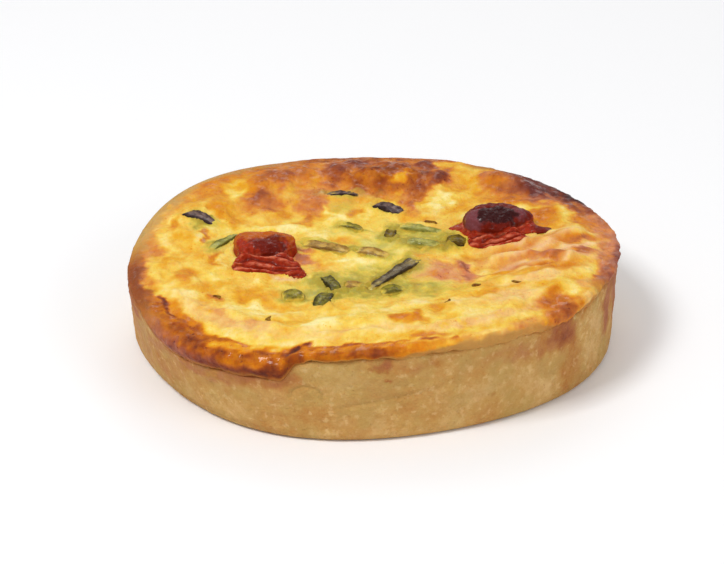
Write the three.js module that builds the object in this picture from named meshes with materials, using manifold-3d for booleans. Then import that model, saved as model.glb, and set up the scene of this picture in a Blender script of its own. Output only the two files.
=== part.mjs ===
// A small round quiche: a straight-sided pastry case, a baked egg and cheese filling,
// two roasted cherry tomatoes and cut vegetables half sunk in the top.
// Units are millimetres, +Z is up, the origin is the middle of the flat base, and the front faces -Y.
import * as THREE from 'three';
import { mergeVertices } from 'three/addons/utils/BufferGeometryUtils.js';
import Module from 'manifold-3d';

const wasm = await Module();
wasm.setup();

// Driving dimensions of the pastry case
const RIM_RADIUS = 60;
const BASE_RADIUS = 58.3;
const RIM_HEIGHT = 21.6;
const WALL_THICKNESS = 3.4;
const FLOOR_THICKNESS = 3.6;
const BASE_EDGE_ROUND = 2;
const RIM_EDGE_ROUND = 1.0;

// Driving dimensions of the filling
const BASIN_LEVEL = 20.7;
const RIDGE_ABOVE_RIM = 1.1;
const RIDGE_AT = 0.85;
const LIP_ABOVE_RIM = 0.9;
const TUCKED_EDGE = 2.0;
const TUCKED_LIFT = 0.75;
const LAP_PAST_WALL = 0.15;
const DRIP_BULGE = 0.7;

// Clear space between pieces that touch, and the steps that each curved form is cut into
const GAP = 0.3;
const ROUND_STEPS = 96;
const TOMATO_STEPS = 32;

// Moves the uneven outline's middle onto the origin
const CENTRING = new THREE.Vector3(-0.8, -0.15, 0);

const COLOURS = { pastry: 0xc49a5c, filling: 0xe9b450, tomato: 0x96301a, charredTomato: 0x7a2a20 };

// The case isn't quite round: each entry is a number of lobes, how far they swell, and where one crests
// in degrees.
const RIM_LOBES = [[2, 0.5, 31], [3, 0.55, -12], [4, 1.4, 45], [5, 0.3, -5], [6, 0.4, 2]];
const BASE_LOBES = [[2, 0.7, 132], [3, 0.2, 15], [4, 0.7, -22], [5, 0.4, 31]];
const HEIGHT_LOBES = [[1, 0.4, -53], [2, 1.2, 133]];

// Where filling ran over the rim in baking, in degrees from one side to the other, with how fast it starts
// and ends. The pastry stands lower there by dip, the filling's edge sags by slump and its drip bulges out.
const SPILLS = [
  { from: 204, to: 253.5, start: 18, end: 4, dip: 5.6, slump: 1.2, bulge: 1 },
  { from: 249.5, to: 308, start: 4, end: 7, dip: 1.4, slump: 0, bulge: 0.3 },
  { from: 301, to: 336, start: 9, end: 10, dip: 2.2, slump: 0.5, bulge: 0.4 },
  { from: -30, to: 58, start: 9, end: 9, dip: 1.4, slump: 0.8, bulge: 0.3 },
  { from: 60, to: 114, start: 9, end: 12, dip: 1.2, slump: 0.3, bulge: 0.3 },
];

// Swells and hollows of the baked top: middle x and y, half length, half width, heading in degrees, height.
const RELIEF = [
  { x: 4, y: 43, long: 19, wide: 9, turn: -3, rise: 1.4 },
  { x: -24, y: 41, long: 12, wide: 7, turn: 22, rise: 1.1 },
  { x: -41, y: 26, long: 9, wide: 6, turn: 50, rise: 0.6 },
  { x: 36, y: 40, long: 10, wide: 5, turn: -42, rise: 1.8 },
  { x: 48, y: 24, long: 9, wide: 4, turn: -60, rise: 0.5 },
  { x: 46, y: 1, long: 13, wide: 3.2, turn: 10, rise: 1.1 },
  { x: 39, y: -10, long: 14, wide: 3.0, turn: -14, rise: 1.0 },
  { x: 35, y: -21, long: 13, wide: 3.4, turn: 12, rise: 0.8 },
  { x: -6, y: -42, long: 20, wide: 5, turn: 4, rise: 0.7 },
  { x: -40, y: -24, long: 13, wide: 5, turn: -52, rise: 0.7 },
  { x: 0, y: -16, long: 19, wide: 11, turn: 20, rise: -0.7 },
  { x: 8, y: 10, long: 16, wide: 7, turn: -20, rise: -0.5 },
];

// The two roasted tomato halves: middle and half sizes of the dome, how high it stands, the direction in
// which the split skin slumped, how wide either side of that in degrees and how far, and the points that the
// skin runs out to. The dome starts at the shoulder, a share of the way up. A roundness under 1 makes its
// sides steeper and its top flatter.
const TOMATOES = {
  tomato_left: {
    x: -25.8, y: -0.3, long: 7.4, wide: 5.8, top: 26.0,
    slumps: -88, span: 36, reach: 12.2, shoulder: 0.42, roundness: 0.75,
    points: [{ at: -55, reach: 17.5, spread: 9 }],
  },
  tomato_right: {
    x: 31.2, y: 11.0, long: 8.6, wide: 6.6, top: 27.0,
    slumps: -91, span: 31, reach: 12.3, shoulder: 0.15, roundness: 1,
    points: [{ at: -23, reach: 14.5, spread: 10 }, { at: 180, reach: 12.0, spread: 15 }],
  },
};
const TOMATO_SUNK = 2.2;
const SLUMP_FADE = 30;
const SKIRT_LIFT = 0.5;
const FOLDS = 3;
const FOLD_DEPTH = 0.35;
const DIMPLE = 0.5;

// Cut vegetables: middle x and y, length, width, height, heading and tip-up in degrees, how far the top
// stands out, and how much narrower one end is.
const VEGETABLES = {
  aubergine_1: {
    x: -42.1, y: 17.8, long: 9.6, wide: 5.0, thick: 3.2,
    turn: -40, tip: -4, proud: 1.0, taper: 0.5,
  },
  aubergine_2: {
    x: 4.8, y: 25.2, long: 8.8, wide: 4.4, thick: 3.2,
    turn: -42, tip: 4, proud: 1.0, taper: 0.2,
  },
  aubergine_3: {
    x: -6.9, y: 34.0, long: 9.4, wide: 2.8, thick: 2.4,
    turn: -2, tip: 0, proud: 0.5, taper: 0.2,
  },
  courgette_back: {
    x: -4.7, y: 15.2, long: 6.8, wide: 3.6, thick: 2.4,
    turn: -32, tip: 0, proud: 0.5, taper: 0.5,
  },
  onion_strip: {
    x: -11.0, y: 3.0, long: 14.0, wide: 4.4, thick: 2.6,
    turn: -28, tip: 2, proud: 0.6, taper: 0.25,
  },
  onion_ochre: {
    x: 0.6, y: -1.2, long: 9.0, wide: 4.2, thick: 2.4,
    turn: -29, tip: 0, proud: 0.55, taper: 0.3,
  },
  leek_left: {
    x: -35.6, y: 5.6, long: 11.4, wide: 2.8, thick: 2.6,
    turn: 54, tip: 0, proud: 0.6, taper: 0.3,
  },
  courgette_dark: {
    x: -9.7, y: -17.6, long: 11.0, wide: 3.6, thick: 3.0,
    turn: -70, tip: 4, proud: 1.0, taper: 0.2,
  },
  courgette_square: {
    x: -11.2, y: -28.2, long: 8.2, wide: 4.2, thick: 3.0,
    turn: 78, tip: 0, proud: 1.0, taper: 0.1,
  },
  courgette_clump: {
    x: -18.3, y: -24.6, long: 5.4, wide: 5.6, thick: 3.2,
    turn: 5, tip: 0, proud: 0.7, taper: 0.2,
  },
  courgette_long: {
    x: 5.8, y: -12.4, long: 20.0, wide: 2.2, thick: 2.6,
    turn: 51, tip: 2, proud: 0.8, taper: -0.9,
  },
  courgette_front: {
    x: 5.0, y: -22.6, long: 5.4, wide: 4.8, thick: 3.0,
    turn: 10, tip: 0, proud: 0.6, taper: 0.15,
  },
  onion_bit: {
    x: -4.3, y: -18.3, long: 4.2, wide: 3.8, thick: 2.4,
    turn: -10, tip: 0, proud: 0.6, taper: 0.2,
  },
  pepper_middle: {
    x: 5.1, y: 10.4, long: 6.6, wide: 3.4, thick: 2.6,
    turn: 81, tip: 0, proud: 0.6, taper: 0.2,
  },
  leek_right: {
    x: 13.4, y: 12.2, long: 13.0, wide: 3.8, thick: 2.4,
    turn: -28, tip: 0, proud: 0.6, taper: 0.4,
  },
  leek_middle: {
    x: 13.2, y: 3.4, long: 10.0, wide: 4.4, thick: 2.4,
    turn: -24, tip: 0, proud: 0.6, taper: 0.3,
  },
  pepper_right: {
    x: 21.0, y: 3.0, long: 5.0, wide: 5.0, thick: 3.4,
    turn: -10, tip: 5, proud: 1.2, taper: 0.1,
  },
};
const VEGETABLE_COLOURS = {
  aubergine: 0x55403a,
  leek: 0x8d8a5c,
  onion: 0xa3864f,
  courgette: 0x5d6a2a,
  pepper: 0x55500f,
};

// Herb flecks baked onto the filling: x, y, length, and heading in degrees.
const FLECKS = [
  [15.4, 17.2, 3.6, -36],
  [-36.0, -24.5, 2.8, -60],
  [-23.6, -37.6, 2.6, 88],
  [25.0, -24.0, 3.2, 20],
  [34.0, -25.0, 2.6, -10],
  [17.7, -34.0, 2.4, 60],
];
const FLECK_THICKNESS = 0.4;

const radians = THREE.MathUtils.degToRad;
const mix = THREE.MathUtils.lerp;
const smooth = THREE.MathUtils.smoothstep;

function lobes(rows, angle) {
  const wave = ([count, swell, crest]) => swell * Math.cos(count * (angle - radians(crest)));
  return rows.reduce((sum, row) => sum + wave(row), 0);
}

// 1 along a spill, fading to 0 at its two ends
function spillShare({ from, to, start, end }, angle) {
  const along = THREE.MathUtils.euclideanModulo(THREE.MathUtils.radToDeg(angle) - from, 360);
  return smooth(along, 0, start) * (1 - smooth(along, to - from - end, to - from));
}

function spilled(angle, key) {
  return SPILLS.reduce((sum, spill) => sum + spill[key] * spillShare(spill, angle), 0);
}

function lapShare(angle) {
  return Math.min(1, SPILLS.reduce((sum, spill) => sum + spillShare(spill, angle), 0));
}

const crownHeight = (angle) => RIM_HEIGHT + lobes(HEIGHT_LOBES, angle);
const rimHeight = (angle) => crownHeight(angle) - spilled(angle, 'dip');

// Radius of the case's outer face at a height
function outerRadius(angle, height) {
  const share = height / RIM_HEIGHT;
  return mix(BASE_RADIUS + lobes(BASE_LOBES, angle), RIM_RADIUS + lobes(RIM_LOBES, angle), share);
}

const innerRadius = (angle, height) => outerRadius(angle, height) - WALL_THICKNESS;

// Section of the pastry case at one angle: from the middle of its base, round the wall, to the middle of its
// floor
function caseSection(angle) {
  const rim = rimHeight(angle);
  const foot = outerRadius(angle, 0);
  const wallAt = (height) => [outerRadius(angle, height), height];
  return [
    [0, 0],
    [foot * 0.5, 0],
    [foot - BASE_EDGE_ROUND, 0],
    [foot - BASE_EDGE_ROUND * 0.3, BASE_EDGE_ROUND * 0.3],
    wallAt(BASE_EDGE_ROUND),
    wallAt(rim * 0.45),
    wallAt(rim - RIM_EDGE_ROUND),
    [outerRadius(angle, rim) - RIM_EDGE_ROUND * 0.7, rim],
    [innerRadius(angle, rim) + RIM_EDGE_ROUND * 0.5, rim],
    [innerRadius(angle, rim - RIM_EDGE_ROUND), rim - RIM_EDGE_ROUND],
    [innerRadius(angle, FLOOR_THICKNESS + BASE_EDGE_ROUND), FLOOR_THICKNESS + BASE_EDGE_ROUND],
    [innerRadius(angle, FLOOR_THICKNESS) - BASE_EDGE_ROUND, FLOOR_THICKNESS],
    [0, FLOOR_THICKNESS],
  ];
}

// Height of the filling's outer top edge
function lipHeight(angle) {
  const lapped = crownHeight(angle) + LIP_ABOVE_RIM - spilled(angle, 'slump');
  return mix(crownHeight(angle) + TUCKED_LIFT, lapped, lapShare(angle));
}

// Radius that the filling reaches: just over the rim's inner edge, or to the case's outer face where it
// spilled
function lipRadius(angle) {
  const rim = rimHeight(angle);
  const tucked = innerRadius(angle, rim) + TUCKED_EDGE;
  return mix(tucked, outerRadius(angle, rim) + LAP_PAST_WALL, lapShare(angle));
}

// A smooth hump: 1 in its middle, 0 at its outline
function hump(feature, x, y) {
  const turn = radians(feature.turn);
  const along = (x - feature.x) * Math.cos(turn) + (y - feature.y) * Math.sin(turn);
  const across = (y - feature.y) * Math.cos(turn) - (x - feature.x) * Math.sin(turn);
  return 1 - smooth(Math.hypot(along / feature.long, across / feature.wide), 0.25, 1.15);
}

// Height of the baked top at a share of the way out to the lip
function topHeight(angle, share) {
  const ridge = crownHeight(angle) + RIDGE_ABOVE_RIM;
  const rising = mix(BASIN_LEVEL, ridge, smooth(share, 0.42, RIDGE_AT));
  const level = mix(rising, lipHeight(angle), smooth(share, RIDGE_AT, 1));
  const x = share * lipRadius(angle) * Math.cos(angle);
  const y = share * lipRadius(angle) * Math.sin(angle);
  const edgeFade = 1 - smooth(share, 0.88, 1);
  const relief = RELIEF.reduce((sum, feature) => sum + feature.rise * hump(feature, x, y), 0);
  return level + edgeFade * relief;
}

const topHeightAt = (x, y) => {
  const angle = Math.atan2(y, x);
  return topHeight(angle, Math.hypot(x, y) / lipRadius(angle));
};

const TOP_SHARES = [0.985, 0.955, 0.91, 0.85, 0.78, 0.7, 0.61, 0.52, 0.42, 0.3, 0.15];

// Section of the filling at one angle: its underside, the wall inside the case, the lip over the rim and
// the top
function fillingSection(angle) {
  const rim = rimHeight(angle);
  const floor = FLOOR_THICKNESS + GAP;
  const lip = lipRadius(angle);
  const edge = lipHeight(angle);
  const under = rim + GAP;
  const drip = DRIP_BULGE * spilled(angle, 'bulge');
  return [
    [0, floor],
    [innerRadius(angle, floor) - BASE_EDGE_ROUND - GAP, floor],
    [innerRadius(angle, floor + BASE_EDGE_ROUND) - GAP, floor + BASE_EDGE_ROUND],
    [innerRadius(angle, rim - RIM_EDGE_ROUND) - GAP, rim - RIM_EDGE_ROUND],
    [innerRadius(angle, rim) + RIM_EDGE_ROUND * 0.5 - GAP, under],
    [lip - 0.2 + drip * 0.5, under],
    [lip + drip, mix(under, edge, 0.25)],
    [lip + drip * 0.6, mix(under, edge, 0.65)],
    ...TOP_SHARES.map((share) => [lip * share, topHeight(angle, share)]),
    [0, topHeight(angle, 0)],
  ];
}

// Revolves a section that changes with the angle
function revolved(sectionAt, steps) {
  const count = sectionAt(0).length;
  const rows = Array.from({ length: count }, (_, row) => new THREE.Vector2(1, row));
  const lathe = new THREE.LatheGeometry(rows, steps);
  const position = lathe.getAttribute('position');
  for (let step = 0; step <= steps; step += 1) {
    const angle = ((step % steps) / steps) * 2 * Math.PI;
    sectionAt(angle).forEach(([radius, height], row) => {
      position.setXYZ(step * count + row, radius * Math.cos(angle), radius * Math.sin(angle), height);
    });
  }
  return lathe;
}

// How many degrees apart an angle in radians and a direction in degrees are
function apart(angle, direction) {
  const turned = THREE.MathUtils.radToDeg(angle) - direction + 180;
  return Math.abs(THREE.MathUtils.euclideanModulo(turned, 360) - 180);
}

// Radius of a tomato's dome, a slightly uneven oval
function domeRadius({ long, wide }, angle) {
  const oval = (long * wide) / Math.hypot(wide * Math.cos(angle), long * Math.sin(angle));
  return oval * (1 + 0.05 * Math.sin(3 * angle + 0.6) + 0.035 * Math.sin(5 * angle + long));
}

const slumpShare = (row, angle) => 1 - smooth(apart(angle, row.slumps), row.span, row.span + SLUMP_FADE);

// Radius of the skirt of skin that slumped down from the dome
function skirtRadius(row, angle) {
  const radius = mix(domeRadius(row, angle) * 1.04, row.reach, slumpShare(row, angle));
  const runOut = (reached, point) => {
    const share = Math.exp(-((apart(angle, point.at) / point.spread) ** 2));
    return mix(reached, point.reach, share);
  };
  return row.points.reduce(runOut, radius);
}

const SKIRT_ROWS = [0, 0.25, 0.5, 0.75];
const DOME_ROWS = [0, 18, 38, 60];

// Section of a tomato half at one angle: its underside, the folds of its skirt, and its dome
function tomatoSection(row, angle) {
  const skirt = skirtRadius(row, angle);
  const dome = domeRadius(row, angle);
  const bottom = topHeightAt(row.x, row.y) - TOMATO_SUNK;
  const lying = topHeightAt(row.x + skirt * Math.cos(angle), row.y + skirt * Math.sin(angle));
  const edge = lying + SKIRT_LIFT;
  const shoulder = mix(edge, row.top, row.shoulder);
  const folds = SKIRT_ROWS.map((share) => {
    const wave = Math.sin(FOLDS * Math.PI * (share + 0.1 * Math.sin(3 * angle)));
    const fold = FOLD_DEPTH * slumpShare(row, angle) * wave * Math.min(1, share * 4);
    return [mix(skirt, dome, share), mix(edge, shoulder, share) + fold];
  });
  const bulge = DOME_ROWS.map((degrees) => [
    dome * Math.cos(radians(degrees)) ** row.roundness,
    mix(shoulder, row.top, Math.sin(radians(degrees)) ** row.roundness),
  ]);
  return {
    below: [
      [0, bottom],
      [skirt * 0.55, bottom],
      [skirt * 0.88, mix(bottom, lying, 0.45)],
      [skirt, edge - 0.4],
    ],
    above: [...folds, ...bulge, [dome * 0.3, row.top - DIMPLE * 0.4], [0, row.top - DIMPLE]],
  };
}

// A tomato half. Grown by a margin, it also cuts its own socket.
function tomatoShape(row, margin = 0) {
  const grown = (angle) => {
    const { below, above } = tomatoSection(row, angle);
    const widened = (radius) => (radius > 0 ? radius + margin : 0);
    return [
      ...below.map(([radius, height]) => [widened(radius), height - margin]),
      ...above.map(([radius, height]) => [widened(radius), height + margin]),
    ];
  };
  return revolved(grown, TOMATO_STEPS).translate(row.x, row.y, 0);
}

// A cut vegetable: a block with rounded edges, narrowed to one end and arched along its length
function vegetableShape({ x, y, long, wide, thick, turn, tip, proud, taper }, margin = 0) {
  const block = new THREE.BoxGeometry(2, 2, 2, 4, 3, 2);
  const position = block.getAttribute('position');
  const roundness = 5;
  for (let i = 0; i < position.count; i += 1) {
    const [u, v, w] = [position.getX(i), position.getY(i), position.getZ(i)];
    const size = [u, v, w].reduce((sum, part) => sum + Math.abs(part) ** roundness, 0);
    const reach = Math.pow(size, -1 / roundness);
    const narrowing = 1 - taper * 0.5 * (1 + u);
    const arch = thick * 0.18 * (1 - u * u);
    position.setXYZ(
      i,
      u * reach * (long / 2 + margin),
      v * reach * (wide / 2 + margin) * narrowing,
      w * reach * (thick / 2 + margin) + arch,
    );
  }
  block.rotateY(radians(-tip));
  block.rotateZ(radians(turn));
  block.translate(x, y, topHeightAt(x, y) + proud - thick / 2);
  return block;
}

// A fleck of herb: a small flat spindle lying on the filling
function fleckShape([x, y, long, turn]) {
  const spindle = new THREE.SphereGeometry(1, 6, 4);
  spindle.scale(long / 2, long / 4, FLECK_THICKNESS);
  spindle.rotateZ(radians(turn));
  spindle.translate(x, y, topHeightAt(x, y));
  return spindle;
}

// A closed geometry as a solid that can be joined and cut
function solidOf(geometry) {
  const bare = new THREE.BufferGeometry();
  bare.setAttribute('position', geometry.getAttribute('position'));
  bare.setIndex(geometry.index);
  const merged = mergeVertices(bare, 1e-4);
  return new wasm.Manifold(new wasm.Mesh({
    numProp: 3,
    vertProperties: new Float32Array(merged.getAttribute('position').array),
    triVerts: new Uint32Array(merged.index.array),
  }));
}

function geometryOf(solid) {
  const { vertProperties, triVerts } = solid.getMesh();
  const geometry = new THREE.BufferGeometry();
  geometry.setAttribute('position', new THREE.BufferAttribute(new Float32Array(vertProperties), 3));
  geometry.setIndex(new THREE.BufferAttribute(new Uint32Array(triVerts), 1));
  geometry.computeVertexNormals();
  return geometry;
}

const quiche = new THREE.Group();

function addPiece(name, geometry, colour, roughness) {
  const material = new THREE.MeshStandardMaterial({ color: colour, roughness, metalness: 0 });
  const mesh = new THREE.Mesh(geometry, material);
  mesh.name = name;
  quiche.add(mesh);
}

// The filling: its revolved body, with flecks joined on and a socket cut for everything sunk in it
function fillingShape() {
  let body = solidOf(revolved(fillingSection, ROUND_STEPS));
  for (const fleck of FLECKS) body = body.add(solidOf(fleckShape(fleck)));
  for (const row of Object.values(TOMATOES)) body = body.subtract(solidOf(tomatoShape(row, GAP)));
  for (const row of Object.values(VEGETABLES)) body = body.subtract(solidOf(vegetableShape(row, GAP)));
  return geometryOf(body);
}

addPiece('pastry_case', revolved(caseSection, ROUND_STEPS), COLOURS.pastry, 0.85);
addPiece('filling', fillingShape(), COLOURS.filling, 0.4);
addPiece('tomato_left', tomatoShape(TOMATOES.tomato_left), COLOURS.tomato, 0.35);
addPiece('tomato_right', tomatoShape(TOMATOES.tomato_right), COLOURS.charredTomato, 0.35);
for (const [name, row] of Object.entries(VEGETABLES)) {
  addPiece(name, vegetableShape(row), VEGETABLE_COLOURS[name.split('_')[0]], 0.45);
}

quiche.position.copy(CENTRING);

export default quiche;
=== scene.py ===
import math

import bpy
import numpy as np
from mathutils import Matrix, Vector


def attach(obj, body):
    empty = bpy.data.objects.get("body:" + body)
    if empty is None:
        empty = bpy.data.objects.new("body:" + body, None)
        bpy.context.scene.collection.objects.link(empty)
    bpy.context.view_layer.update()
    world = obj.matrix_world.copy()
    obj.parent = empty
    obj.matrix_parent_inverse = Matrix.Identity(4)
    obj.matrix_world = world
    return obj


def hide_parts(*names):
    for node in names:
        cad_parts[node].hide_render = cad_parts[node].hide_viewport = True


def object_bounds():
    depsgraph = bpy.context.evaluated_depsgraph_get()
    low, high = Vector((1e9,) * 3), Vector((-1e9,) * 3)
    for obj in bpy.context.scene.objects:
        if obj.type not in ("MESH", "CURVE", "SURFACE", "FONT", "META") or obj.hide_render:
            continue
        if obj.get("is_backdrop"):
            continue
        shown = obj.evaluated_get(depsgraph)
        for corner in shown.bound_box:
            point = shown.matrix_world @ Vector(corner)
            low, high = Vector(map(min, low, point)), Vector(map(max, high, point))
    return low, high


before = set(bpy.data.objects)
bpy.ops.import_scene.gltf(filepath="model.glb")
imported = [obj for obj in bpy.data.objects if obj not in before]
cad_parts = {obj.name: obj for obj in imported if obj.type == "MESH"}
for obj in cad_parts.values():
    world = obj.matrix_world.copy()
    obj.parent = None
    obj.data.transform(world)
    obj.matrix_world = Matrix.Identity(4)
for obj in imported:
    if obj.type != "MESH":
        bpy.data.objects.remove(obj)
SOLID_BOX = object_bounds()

# A small round quiche: a pastry case, a browned egg and cheese filling, roasted tomato halves and cut
# vegetables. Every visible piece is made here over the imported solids, in the same frame. Shapes are worked
# out in millimetres.
bl_info = {
    "name": "Round quiche",
    "version": (1, 0, 0),
    "blender": (4, 5, 0),
    "location": "3D View > Sidebar > Quiche",
    "description": "Builds a small baked quiche with roasted tomatoes and vegetables",
    "category": "Add Mesh",
}

MM = 0.001
CENTRING = np.array([-0.8, -0.15, 0.0])

# The case isn't quite round: number of lobes, how far they swell, and where one crests in degrees.
RIM_LOBES = [(2, 0.5, 31), (3, 0.55, -12), (4, 1.4, 45), (5, 0.3, -5), (6, 0.4, 2)]
BASE_LOBES = [(2, 0.7, 132), (3, 0.2, 15), (4, 0.7, -22), (5, 0.4, 31)]
HEIGHT_LOBES = [(1, 0.4, -53), (2, 1.2, 133)]

# Where filling ran over the rim: from, to, start and end in degrees, then how far its edge dips, slumps and
# bulges there.
SPILLS = [
    (204, 253.5, 18, 4, 5.6, 1.2, 1.0),
    (249.5, 308, 4, 7, 1.4, 0.0, 0.3),
    (301, 336, 9, 10, 2.2, 0.5, 0.4),
    (-30, 58, 9, 9, 1.4, 0.8, 0.3),
    (60, 114, 9, 12, 1.2, 0.3, 0.3),
]
DIP, SLUMP, BULGE = 4, 5, 6

# Swells and hollows of the baked top: middle x and y, half length, half width, heading in degrees, height.
RELIEF = [
    (4, 43, 19, 9, -3, 1.4),
    (-24, 41, 12, 7, 22, 1.1),
    (-41, 26, 9, 6, 50, 0.6),
    (36, 40, 10, 5, -42, 1.8),
    (48, 24, 9, 4, -60, 0.5),
    (46, 1, 13, 3.2, 10, 1.1),
    (39, -10, 14, 3.0, -14, 1.0),
    (35, -21, 13, 3.4, 12, 0.8),
    (-6, -42, 20, 5, 4, 0.7),
    (-40, -24, 13, 5, -52, 0.7),
    (0, -16, 19, 11, 20, -0.7),
    (8, 10, 16, 7, -20, -0.5),
]

# The same for the finer lumps, folds and wrinkles that the oven left.
FINE_RELIEF = [
    (-8, 45, 6, 3.4, 80, 0.7),
    (2, 41, 7, 4, 0, 0.8),
    (10, 42, 6, 2.6, 80, 0.6),
    (18, 43, 8, 2.8, 72, 0.9),
    (13, 35, 4, 2.6, 60, 0.6),
    (15, 51, 5, 2.8, 60, 0.6),
    (-4, 52, 6, 3.6, 80, 0.6),
    (11, 28, 7, 2.4, 95, 0.5),
    (-27, 33, 7, 4, 70, 0.5),
    (-14, 30, 8, 4, 60, 0.5),
    (-34, 36, 5, 3.4, 80, -0.4),
    (-34, 30, 4, 3, 70, 0.5),
    (-36, 21, 7, 2.6, -72, 0.5),
    (18, 29, 6, 3.2, 78, 0.6),
    (24, 38, 9, 2.6, 72, -0.4),
    (42, 33, 7, 3, -50, 0.6),
    (31, 42, 5, 3, 40, 0.5),
    (46, 12, 6, 3, 80, 0.6),
    (50, 4, 8, 1.9, 14, 0.5),
    (44, -4, 7, 2.2, 20, 0.5),
    (38, -8.5, 8, 2.2, -24, 0.5),
    (46, -13, 7, 2.2, -20, 0.6),
    (36, -15, 9, 1.3, 8, 0.5),
    (41, -21.5, 10, 1.5, 6, 0.5),
    (22.5, -12.5, 7, 1.6, -66, 0.8),
    (29, -17, 7, 1.7, 24, 0.5),
    (15, -13, 6, 4, -30, 0.5),
    (-43, -27, 9, 2.6, -52, 0.7),
    (-33, -35.5, 10, 2.6, -38, 0.8),
    (-21, -44, 10, 2.6, -30, 0.7),
    (-3, -49.5, 12, 2.4, -2, 0.7),
    (17, -47.5, 11, 2.4, 14, 0.7),
    (32, -40, 10, 2.6, 40, 0.6),
    (42, -29, 8, 2.6, 52, 0.5),
    (-43.5, -13.5, 4.2, 3.4, 70, 0.4),
    (10, -41, 5, 3, 88, 0.4),
    (27.5, -27, 5, 3, 80, 0.4),
    (-12, 9, 6, 4, 80, 0.4),
    (-24, 14.5, 12, 2.6, 4, 0.5),
    (1, -11, 6, 5, 20, 0.4),
    (13, -5, 5, 3, -10, 0.3),
]

# Where the top blistered, and where it is pleated: middle x and y, half length, half width, heading.
BLISTERED = (4, 44, 20, 12, 0)
PLEATED = (42, -7, 20, 17, 0)

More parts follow.
